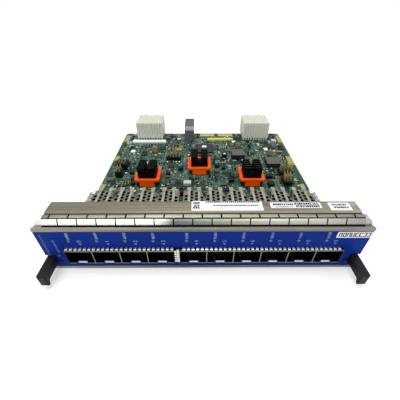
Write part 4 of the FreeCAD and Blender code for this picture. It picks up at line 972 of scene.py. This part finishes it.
def makeCollar(gang):
    x0, x1, z0, z1 = gangSpan(gang)
    leaf, collar, lip, pitch = gangs["leaf"], gangs["collar"], gangs["lip"], ports["pitch"]
    side, across = collar["side"], (x0 - collar["side"], x1 + collar["side"])
    bm = bmesh.new()   # the ring around the mouth, its inner side faces painted dark as shade
    for xs, zs, back in ((across, (z1, z1 + collar["out"]), "back"), (across, (z0 - side, z0), "lowBack"),
                         ((x0 - side, x0), (z0, z1), "back"), ((x1, x1 + side), (z0, z1), "back")):
        addBox(bm, xs, (collar["front"], collar[back]), zs)
    bm.normal_update()
    for face in bm.faces:
        place = face.calc_center_median()
        face.material_index = int(abs(face.normal.x) > 0.5 and x0 - 0.01 < place.x < x1 + 0.01)
    makePiece("springCollar_" + gang, bm, ("bandSteel", "darkHollow"), ("spring_collar_" + gang,),
              bevel=0.06)
    # the mouth lip, and a dark sheet painted as the shade under the collar leaves
    for name, key, look, slot, bevel in (("mouthLip_", "mouthLip", "bandSteel", "spring_metal", 0.08),
                                         ("collarShade_", "shade", "darkHollow", "black_plastic", 0)):
        past, ys, (low, high) = gangs[key]
        makePiece(name + gang, boxShape((x0 - past, x1 + past), ys, (z1 + low, z1 + high)), look,
                  bevel=bevel)
    makeSideLeaves(gang)
    count = int((x1 - x0) / leaf["pitch"])
    first = (x0 + x1) / 2 - leaf["pitch"] * (count - 1) / 2
    makeRows("collarLeaves_" + gang, prismShape(leaf["profile"], "x", *about(0, leaf["wide"])), leaf["look"][gang],
             (first, 0, z1), (leaf["pitch"], 0, 0), count, slot="spring_metal")
    makeRows("latchLips_" + gang, prismShape(lip["profile"], "x", *about(0, lip["wide"])), "lipSteel",
             (x0 + pitch / 2 + lip["shift"], 0, 0), (pitch, 0, 0), ports[gang], slot="spring_metal")


# what stands between the two gangs, with a dark box painted as the shade in the gap
def makeGangGap():
    gap, right = gangs["gap"], gangSpan("right")[0]
    _, left, low, high = gangSpan("left")
    (wide, clear), ((leafLeft, leafRight), leafBack, leafTall) = gap["strip"], gap["leaf"]
    rise, step, count = gap["rows"]
    stripTop, hollowTop = (high + over for over in gap["high"])
    makePiece("collarStrip", boxShape((right - wide, right - clear), gap["stripBack"], (low + gap["low"], stripTop)),
              "connectorCream", bevel=0.15)
    makePiece("collarGap", boxShape((left + gap["side"], right - wide), gap["back"], (low + gap["low"], hollowTop)),
              "darkHollow")
    makeRows("sideLeaves", boxShape((left + leafLeft, right - leafRight), leafBack, (0, leafTall)), "springBright",
             (0, 0, low + rise), (0, 0, step), count, slot="spring_metal")


for gang in ("left", "right"):
    makeCover(gang)
    makeCollar(gang)
makeGangGap()
print("port gangs made")


# Circuit board: green mask with pads, and what is soldered on it

board = {
    "top": 6.3, "notchBack": 15.5, "notchOut": 74.4, "corner": 2.5, "border": 5.2, "line": 0.55, "pad": 0.04,
    "behindCages": 1.5, "maskRise": 0.015, "lineRise": 0.02,
    "pads": (   # across and back: gold fields on the edges
        ((-76.0, -71.5), (143.7, 157.1)), ((-76.6, -72.5), (107.0, 114.5)), ((-77.2, -73.0), (65.4, 71.7)),
        ((76.3, 80.6), (141.4, 156.9)), ((75.2, 79.8), (99.5, 114.1)), ((74.5, 78.0), (65.9, 71.3))),
}


def makeBoard():
    (x0, x1), (y0, y1), (z0, _) = span("circuit_board")
    top, corner, out, back = board["top"], board["corner"], board["notchOut"], board["notchBack"]
    bm = prismShape(((-out, y0), (out, y0), (out, back), (x1, back), (x1, y1 - corner), (x1 - corner, y1),
                     (x0 + corner, y1), (x0, y1 - corner), (x0, back), (-out, back)), "z", z0, top)
    bm.normal_update()
    for face in bm.faces:
        face.material_index = int(abs(face.normal.z) < 0.5)
    makePiece("boardSheet", bm, ("boardGreen", "boardEdge"), ("circuit_board",))
    bm = bmesh.new()   # plain side strips and the bare line along the edges
    wide, line, behind = board["border"], board["line"], span("cage_cover_left")[1][1] + board["behindCages"]
    for side, edge in ((-1, x0), (1, x1)):
        for near, far, front, rise, tag in ((line, wide, behind, board["maskRise"], 0),
                                            (0, line, back, board["lineRise"], 1)):
            xs = sorted((edge - side * near, edge - side * far))
            addBox(bm, xs, (front, y1 - corner), (top, top + rise), tag)
    addBox(bm, (x0 + corner, x1 - corner), (y1 - line, y1), (top, top + board["lineRise"]), 1)
    makePiece("boardBorder", bm, ("maskDark", "boardEdge"))
    bm = bmesh.new()
    for xs, ys in board["pads"]:
        addBox(bm, xs, ys, (top, top + board["pad"]))
    makePiece("edgePads", bm, "padGold")


makeBoard()

parts = {   # by finish: middle across, middle rearwards, width, depth, height
    "partCream": ((-11.1, 70.6, 5.6, 4.4, 2.8), (20.6, 114.0, 2.0, 2.4, 3.0), (-21.8, 149.2, 3.8, 3.2, 0.5),
                  (54.8, 135.6, 1.8, 5.0, 1.2), (67.4, 123.4, 2.4, 2.2, 0.8)),
    "ferrite": ((-70.0, 74.6, 5.8, 4.2, 3.2),),
    "labelPaper": ((-62.6, 122.8, 3.8, 4.4, 0.9), (31.9, 141.8, 3.2, 4.0, 0.9), (60.2, 126.4, 3.6, 4.2, 0.9)),
    "blackPlastic": ((13.0, 96.4, 4.2, 3.2, 2.4), (18.2, 93.0, 3.0, 2.6, 2.2), (20.8, 115.6, 4.4, 6.4, 2.6),
                     (-27.0, 84.6, 3.4, 2.6, 2.2), (-17.2, 91.6, 4.0, 3.4, 2.6), (-14.6, 58.0, 3.6, 3.4, 3.6),
                     (53.0, 79.6, 4.4, 3.0, 2.8), (52.4, 69.2, 4.6, 4.2, 2.8), (23.2, 75.4, 4.0, 3.4, 2.2),
                     (19.0, 63.4, 4.6, 3.0, 1.2), (-56.1, 86.0, 3.4, 2.8, 2.2), (-34.2, 71.6, 3.6, 3.0, 2.2),
                     (-52.4, 71.0, 3.0, 3.0, 2.2), (-22.2, 131.9, 3.0, 2.6, 1.6)),
    "partRed": ((12.4, 88.4, 4.0, 3.4, 1.6), (-27.2, 80.6, 3.6, 2.6, 1.4), (16.0, 69.8, 3.8, 2.4, 1.2),
                (52.6, 75.4, 3.2, 2.0, 1.0)),
    "coilBrass": ((3.0, 71.0, 1.8, 4.2, 1.0), (47.8, 140.2, 2.0, 3.6, 1.4)),
    "padGold": ((-20.4, 125.2, 4.6, 4.6, 1.6), (72.5, 122.4, 4.6, 1.8, 0.8)),
    "solder": ((66.6, 139.6, 3.4, 5.2, 1.6),),
}
chips = (   # the same, and how many leads on each side
    (-51.2, 116.6, 5.4, 4.2, 1.2, 5), (-36.0, 127.6, 5.2, 5.0, 1.1, 5), (-25.4, 95.8, 5.2, 3.0, 1.1, 6),
    (-51.8, 121.8, 3.6, 2.6, 1.0, 4), (-18.6, 74.2, 4.0, 4.0, 1.0, 4), (28.6, 102.0, 5.8, 4.4, 1.0, 6),
    (-46.2, 95.4, 4.4, 3.2, 1.0, 5), (5.8, 109.0, 4.0, 3.4, 1.0, 4), (41.8, 98.6, 4.2, 3.0, 1.0, 4),
    (-7.6, 118.0, 4.0, 3.0, 1.0, 4), (38.0, 148.0, 4.6, 3.4, 1.0, 5), (-33.0, 148.6, 4.4, 3.2, 1.0, 5),
)
lead = {"share": 0.45, "long": 0.8, "tall": 0.35, "out": 0.3, "lift": 0.15}
# first pin across, back, step, count: small golden pins in two rows
pinRows = {"rows": ((-63.2, 71.6, 2.3, 4), (45.8, 113.4, 2.3, 5), (18.8, 129.4, 2.2, 5)), "apart": 2.4,
           "size": (0.7, 1.8, 0.5)}


def makeParts():
    top = board["top"]
    for look, group in parts.items():
        bm = bmesh.new()
        for x, y, wide, deep, tall in group:
            addBox(bm, about(x, wide), about(y, deep), (top, top + tall))
        makePiece("boardParts_" + look, bm, look, bevel=0.18)
    bm, leads = bmesh.new(), []
    for x, y, wide, deep, tall, count in chips:
        addBox(bm, about(x, wide), about(y, deep), (top + lead["lift"], top + tall))
        pitch = wide / count
        size = (pitch * lead["share"], lead["long"], lead["tall"])
        leads += [(x - wide / 2 + pitch * (index + 0.5), y + side * (deep / 2 + lead["out"]), top, 0, size)
                  for side in (-1, 1) for index in range(count)]
    makePiece("smallChips", bm, "chipGrey", bevel=0.1)
    makePlaced("chipLeads", unitBox(), "solder", leads)
    makePlaced("goldRows", unitBox(), "padGold", [
        (x + step * index, y + row, top, 0, pinRows["size"])
        for x, y, step, count in pinRows["rows"] for index in range(count) for row in (0, pinRows["apart"])])


makeParts()


# across, back, radius, turns
coils = {"coilLeft": (-42.4, 122.6, 2.3, 6), "coilMiddle": (33.6, 130.4, 1.6, 5),
         "coilRight": (61.9, 117.0, 1.6, 5)}
coilWire = {"thick": 0.42, "pitch": 0.82, "lift": 0.6, "inset": 0.4, "coreInset": 0.5, "coreOver": 0.5}


def makeCoils():
    top, wire, cores = board["top"], coilWire, bmesh.new()
    for name, (x, y, radius, turns) in coils.items():
        makeRows(name, ringShape(radius - wire["inset"], wire["thick"]), "coilBrass",
                 (x, y, top + wire["lift"]), (0, 0, wire["pitch"]), turns)
        addRod(cores, (x, y, top), radius - wire["coreInset"], wire["pitch"] * turns + wire["coreOver"], 14)
    makePiece("coilCores", cores, "partTan")


makeCoils()


# Small parts everywhere else on the board, clear of the bigger ones

rearPads = {"groups": ((-0.9, 15.5), (17.5, 33.4)), "back": (155.4, 159.7), "pitch": 2.1,
            "size": (1.84, 0.46, 0.25), "rowStep": 0.55}   # depth and step are shares of the field
scattered = {
    "seed": 5, "x": (-74.4, 75.2), "y": (53.0, 160.5), "behind": 52, "under": 2,
    "clear": {"node": 0.6, "part": (0.5, 0.9), "coil": 0.4, "pad": 0.4},
    "runs": (1, 1, 1, 2, 3, 4), "runStep": (1.5, 2.6),   # short rows of alike parts
    # finish, how many, size, spread of size
    "kinds": (("solder", 560, (0.85, 0.45, 0.4), 0.35), ("partTan", 110, (1.1, 0.65, 0.6), 0.3),
              ("blackPlastic", 420, (1.4, 0.8, 0.55), 0.45), ("labelPaper", 110, (0.75, 0.4, 0.3), 0.45),
              ("maskPale", 420, (1.9, 0.9, 0.14), 0.5), ("padGold", 90, (0.9, 0.8, 0.2), 0.4),
              ("chipGrey", 60, (2.8, 2.2, 0.9), 0.35), ("partRed", 22, (1.4, 1.0, 0.6), 0.3)),
}


def keptClear():
    clear = scattered["clear"]
    taken = [(*span(node)[:2], clear["node"], clear["node"]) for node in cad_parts
             if node != "circuit_board" and span(node)[1][1] > scattered["behind"]
             and span(node)[2][0] < board["top"] + scattered["under"]]
    taken += [(about(x, wide), about(y, deep), *clear["part"])
              for x, y, wide, deep, *_ in [part for group in parts.values() for part in group] + list(chips)]
    taken += [(about(x, 2 * radius), about(y, 2 * radius), clear["coil"], clear["coil"])
              for x, y, radius, _ in coils.values()]
    fields = board["pads"] + tuple((xs, rearPads["back"]) for xs in rearPads["groups"])
    taken += [(xs, ys, clear["pad"], clear["pad"]) for xs, ys in fields]
    return [(x0 - beside, x1 + beside, y0 - ahead, y1 + ahead) for (x0, x1), (y0, y1), beside, ahead in taken]


def makeScattered():
    rng, boxes = random.Random(scattered["seed"]), keptClear()
    (left, right), (near, far), (alongStep, backStep) = scattered["x"], scattered["y"], scattered["runStep"]

    def covered(x, y):
        return any(x0 < x < x1 and y0 < y < y1 for x0, x1, y0, y1 in boxes)

    for look, count, size, spread in scattered["kinds"]:
        places = []
        while len(places) < count:
            x, y = rng.uniform(left, right), rng.uniform(near, far)
            if covered(x, y):
                continue
            run, turn = rng.choice(scattered["runs"]), rng.choice((0, 90))
            grow = rng.uniform(1 - spread, 1 + spread)
            for index in range(run):
                across = x + alongStep * index * size[0] * (turn == 90)
                back = y + backStep * index * size[1] * (turn == 0)
                if not covered(across, back) and across < right and back < far:
                    places.append((across, back, board["top"], turn, tuple(value * grow for value in size)))
        makePlaced("scattered_" + look, unitBox(), look, places)


# two groups of pads at the rear edge, each in two rows
def makeRearPads():
    top, pitch = board["top"], rearPads["pitch"]
    (low, high), (wide, share, tall) = rearPads["back"], rearPads["size"]
    for index, (left, right) in enumerate(rearPads["groups"]):
        count = int((right - left) / pitch)
        makeRows("rearPads%d" % (index + 1), boxShape(about(0, wide), (0, (high - low) * share), (0, tall)),
                 "padBright", (left + pitch / 2, low, top), (pitch, 0, 0), count,
                 (0, (high - low) * rearPads["rowStep"], 0), 2)


makeScattered()
makeRearPads()
print("board and its small parts made")


# Heat sink clips: an orange frame with rounded corners and a skirt with a tongue

clip = {"round": 2.1, "inner": 13.3, "innerRound": 0.4, "frame": 1.9, "skirt": 11.0, "skirtThick": 1.0,
        "skirtIn": 0.1, "tongue": 4.2, "tongueCut": 0.5, "drop": 0.4, "lean": 0.2}


def addFrame(bm, outer, inner, low, high):
    rings = [[bm.verts.new((x, y, z)) for x, y in loop] for loop in (outer, inner) for z in (low, high)]
    for index in range(len(outer)):
        for a, b in ((0, 1), (3, 2), (2, 0), (1, 3)):
            bm.faces.new((rings[a][index - 1], rings[a][index], rings[b][index], rings[b][index - 1]))


def makeClip(place):
    (x0, x1), (y0, y1), (z0, z1) = span("sink_clip_" + place)
    middle, low, thick, inset = (x0 + x1) / 2, z1 - clip["frame"], clip["skirtThick"], clip["skirtIn"]
    inner = roundedBox(about(middle, clip["inner"]), about((y0 + y1) / 2, clip["inner"]), clip["innerRound"])
    bm = bmesh.new()
    addFrame(bm, roundedBox((x0, x1), (y0, y1), clip["round"]), inner, low, z1)
    (left, right), (tongueLeft, tongueRight) = about(middle, clip["skirt"]), about(middle, clip["tongue"])
    foot, top, cut = z0 + clip["drop"], low + inset, clip["tongueCut"]
    outline = [(left, top), (left, foot), (tongueLeft, foot), (tongueLeft + cut, z0), (tongueRight - cut, z0),
               (tongueRight, foot), (right, foot), (right, top)]
    for near, far, way in ((y0 + inset, y0 + inset + thick, -1), (y1 - inset - thick, y1 - inset, 1)):
        begun = len(bm.verts)
        addPrism(bm, outline, "y", near, far)
        bm.verts.ensure_lookup_table()
        for vert in bm.verts[begun:]:
            vert.co.y += way * clip["lean"] * (top - vert.co.z)
    makePiece("sinkClip_" + place, bm, "clipOrange", ("sink_clip_" + place,), bevel=0.28)


# the front row of a heat sink's fins is joined low down by a web
web = {"wide": 2.5, "front": 6.5, "deep": (0.02, 1.3), "low": 1.5, "high": 3.4}


def makeWeb(place):
    (x0, x1), (y0, y1), (z0, z1) = span("heat_sink_" + place)
    front = (y0 + y1) / 2 - web["front"]
    bm = boxShape(about((x0 + x1) / 2, web["wide"]), [front + deep for deep in web["deep"]],
                  (z0 + web["low"], z1 - web["high"]))
    makePiece("sinkWeb_" + place, bm, "sinkBlack")


# a core in two halves: a dark body under a pale cap
inductor = {"cap": 0.9, "inset": 0.15}


def makeInductor(place):
    (x0, x1), (y0, y1), (z0, z1) = span("inductor_" + place)
    inset, seam = inductor["inset"], z1 - inductor["cap"]
    bm = boxShape((x0 + inset, x1 - inset), (y0 + inset, y1 - inset), (z0, seam))
    addBox(bm, (x0, x1), (y0, y1), (seam, z1))
    for face in bm.faces:
        face.material_index = int(abs(face.calc_center_median().z - z1) > 0.1)
    makePiece("inductorCore_" + place, bm, ("ferrite", "ferriteSide"), ("inductor_" + place,), bevel=0.3)


guideTop = {"slope": 3.0, "skin": 0.03}   # thin plates with painted light: painted shade on the guide's top, a painted highlight on its sloped front edge
screwRecess = {"share": 0.42, "rise": 0.03}


def makeTrims():
    (x0, x1), (y0, y1), (_, top) = span("guide_block")
    slope, skin = guideTop["slope"], guideTop["skin"]
    bm = boxShape((x0, x1), (y0 + slope, y1), (top, top + skin))
    addPrism(bm, ((y0, top - slope), (y0 + slope, top), (y0 + slope - skin, top + skin),
                  (y0 - skin, top - slope + skin)), "x", x0, x1, 1)
    makePiece("guideTop", bm, ("guidePaintedShade", "guidePaintedHighlight"))

    # a dark disc painted as the shade in the corner screw's recess
    (x0, x1), (y0, y1), (_, top) = span("corner_screw")
    bm = addRod(bmesh.new(), ((x0 + x1) / 2, (y0 + y1) / 2, top), (x1 - x0) / 2 * screwRecess["share"],
                screwRecess["rise"])
    makePiece("screwRecess", bm, "darkHollow")


chipLabel = {"across": (5.8, 10.0), "back": (8.8, 12.6), "round": 0.8, "thick": 0.03}


def makeChipLabel():
    (x0, _), (y0, _), (_, top) = span("memory_chip")
    outline = roundedBox([x0 + x for x in chipLabel["across"]], [y0 + y for y in chipLabel["back"]],
                         chipLabel["round"])
    makePiece("chipLabel", prismShape(outline, "z", top, top + chipLabel["thick"]), "labelPaper")


makeTrims()
for place in ("left", "middle", "right"):
    makeClip(place)
    makeWeb(place)
for place in ("left", "right"):
    makeInductor(place)
makeChipLabel()


# Backplane connectors: ten wafers in front, a housing with two ribs behind

link = {
    "count": 10, "pitch": 2.5, "below": 0.8, "seam": 158.0, "seamGap": 0.25, "slab": 1.07, "root": 0.09,
    "tooth": 0.62, "toothTall": 2.6, "bevel": 0.1, "rearEnd": 0.06, "rearBelow": 0.12,
    "core": {"side": 0.3, "front": 0.7, "rear": 0.4, "low": 2.4, "high": 0.6},
    "ribs": {"wide": 7.4, "out": 5.6, "deep": 4.0, "below": 2.95, "arc": (145, 35, 8)},
    "holes": {"rows": 8, "wide": 0.7, "tall": 1.0, "shift": 0.5, "low": 1.0, "spare": 1.4, "deep": (0.06, 0.02)},
}


def wafer(near, far, low, high, toothed):
    bm, seat = bmesh.new(), low + link["toothTall"]
    for side in (-1, 1):
        outer, root, tooth = (side * link[key] for key in ("slab", "root", "tooth"))
        foot = [(tooth, low), (tooth, seat), (outer, seat)] if toothed else [(outer, low)]
        addPrism(bm, [(root, low), *foot, (outer, high), (root, high)], "y", near, far)
    bmesh.ops.recalc_face_normals(bm, faces=bm.faces[:])
    bmesh.ops.bevel(bm, geom=bm.edges[:], offset=link["bevel"], segments=1, affect="EDGES")
    return bm


def makeLink(place):
    (x0, x1), (y0, y1), (z0, z1) = span("backplane_connector_" + place)
    pitch, count, core, ribs, holes = (link[key] for key in ("pitch", "count", "core", "ribs", "holes"))
    high, first, step = z1 - link["below"], x0 + pitch / 2, (pitch, 0, 0)
    front = wafer(y0, link["seam"], z0, high, True)
    rear = wafer(link["seam"] + link["seamGap"], y1 - link["rearEnd"], z0, high - link["rearBelow"], False)
    for name, shape in (("connectorWafers_", front), ("connectorRear_", rear)):
        makeRows(name + place, shape, "connectorCream", (first, 0, 0), step, count, slot="connector_cream")
    # the core, in the painted shade of the grooves between the wafers
    bm = boxShape((x0 + core["side"], x1 - core["side"]), (y0 + core["front"], y1 - core["rear"]),
                  (z0 + core["low"], high - core["high"]))
    makePiece("connectorCore_" + place, bm, "connectorShade", ("backplane_connector_" + place,))
    bm = bmesh.new()
    for side in (-1, 1):
        centre = ((x0 + x1) / 2 + side * ribs["out"], high - ribs["below"])
        addPrism(bm, arc(centre, ribs["wide"] / 2, *ribs["arc"]), "y", y1 - ribs["deep"], y1)
    makePiece("connectorRibs_" + place, bm, "connectorCream")
    # painted shade: thin dark plates on the rear face stand in for the shade in the contact holes
    bm = boxShape(about(0, holes["wide"]), [y1 - deep for deep in holes["deep"]], (0, holes["tall"]))
    makeRows("contactHoles_" + place, bm, "darkHollow", (first + holes["shift"], 0, z0 + holes["low"]), step, count,
             (0, 0, (high - z0 - holes["spare"]) / holes["rows"]), holes["rows"], slot="black_plastic")


for place in ("left", "right"):
    makeLink(place)
print("clips and backplane connectors made")


# Headers: black bases with golden pins

headers = {
    # node: columns, rows, pitch, pin width, how far the pins stand above the board, height of a low base
    "box_header": (3, 2, 2.3, 0.6, 6.1, None), "narrow_header": (2, 3, 2.2, 0.6, 8.6, None),
    "side_header": (4, 2, 2.7, 0.62, 9.2, 3.4), "front_header": (3, 3, 2.1, 0.62, 8.4, 3.4),
    "pin_header": (5, 2, 2.54, 0.8, 11.5, 3.4),
}
pinTip = {"tall": 0.3, "share": 0.4}


def makeHeader(node):
    columns, rows, pitch, wide, tall, low = headers[node]
    (x0, x1), (y0, y1), (z0, z1) = span(node)
    name, across, neck = node.title().replace("_", ""), about(0, wide), tall - pinTip["tall"]
    makePiece(name + "Base", boxShape((x0, x1), (y0, y1), (z0, min(z1, z0 + low) if low else z1)), "blackPlastic",
              (node,), bevel=0.2)
    tip = about(0, wide * pinTip["share"])
    pin = addPrism(boxShape(across, across, (0, neck)),
                   [(across[0], neck), (across[1], neck), (tip[1], tall), (tip[0], tall)], "y", *across)
    start = ((x0 + x1) / 2 - pitch * (columns - 1) / 2, (y0 + y1) / 2 - pitch * (rows - 1) / 2, z0)
    makeRows(name + "Pins", pin, "pinGold", start, (pitch, 0, 0), columns, (0, pitch, 0), rows)


# finish, start across and back, step, count, size; the first row is set from the pin header's corner
tails = {
    "solderTails": ("labelPaper", (1.2, -1.8), 2.54, 5, (0.9, 1.6, 0.3)),
    "headerTails": ("solder", (59.4, 79.8), 2.6, 2, (1.2, 1.0, 0.3)),
}


def makeTails(name, cornerX, cornerY):
    look, (x, y), pitch, count, (wide, deep, tall) = tails[name]
    makeRows(name, boxShape(about(0, wide), about(0, deep), (0, tall)), look,
             (cornerX + x, cornerY + y, board["top"]), (pitch, 0, 0), count)


for node in headers:
    makeHeader(node)
makeTails("solderTails", span("pin_header")[0][0], span("pin_header")[1][0])
makeTails("headerTails", 0, 0)
print("headers made")
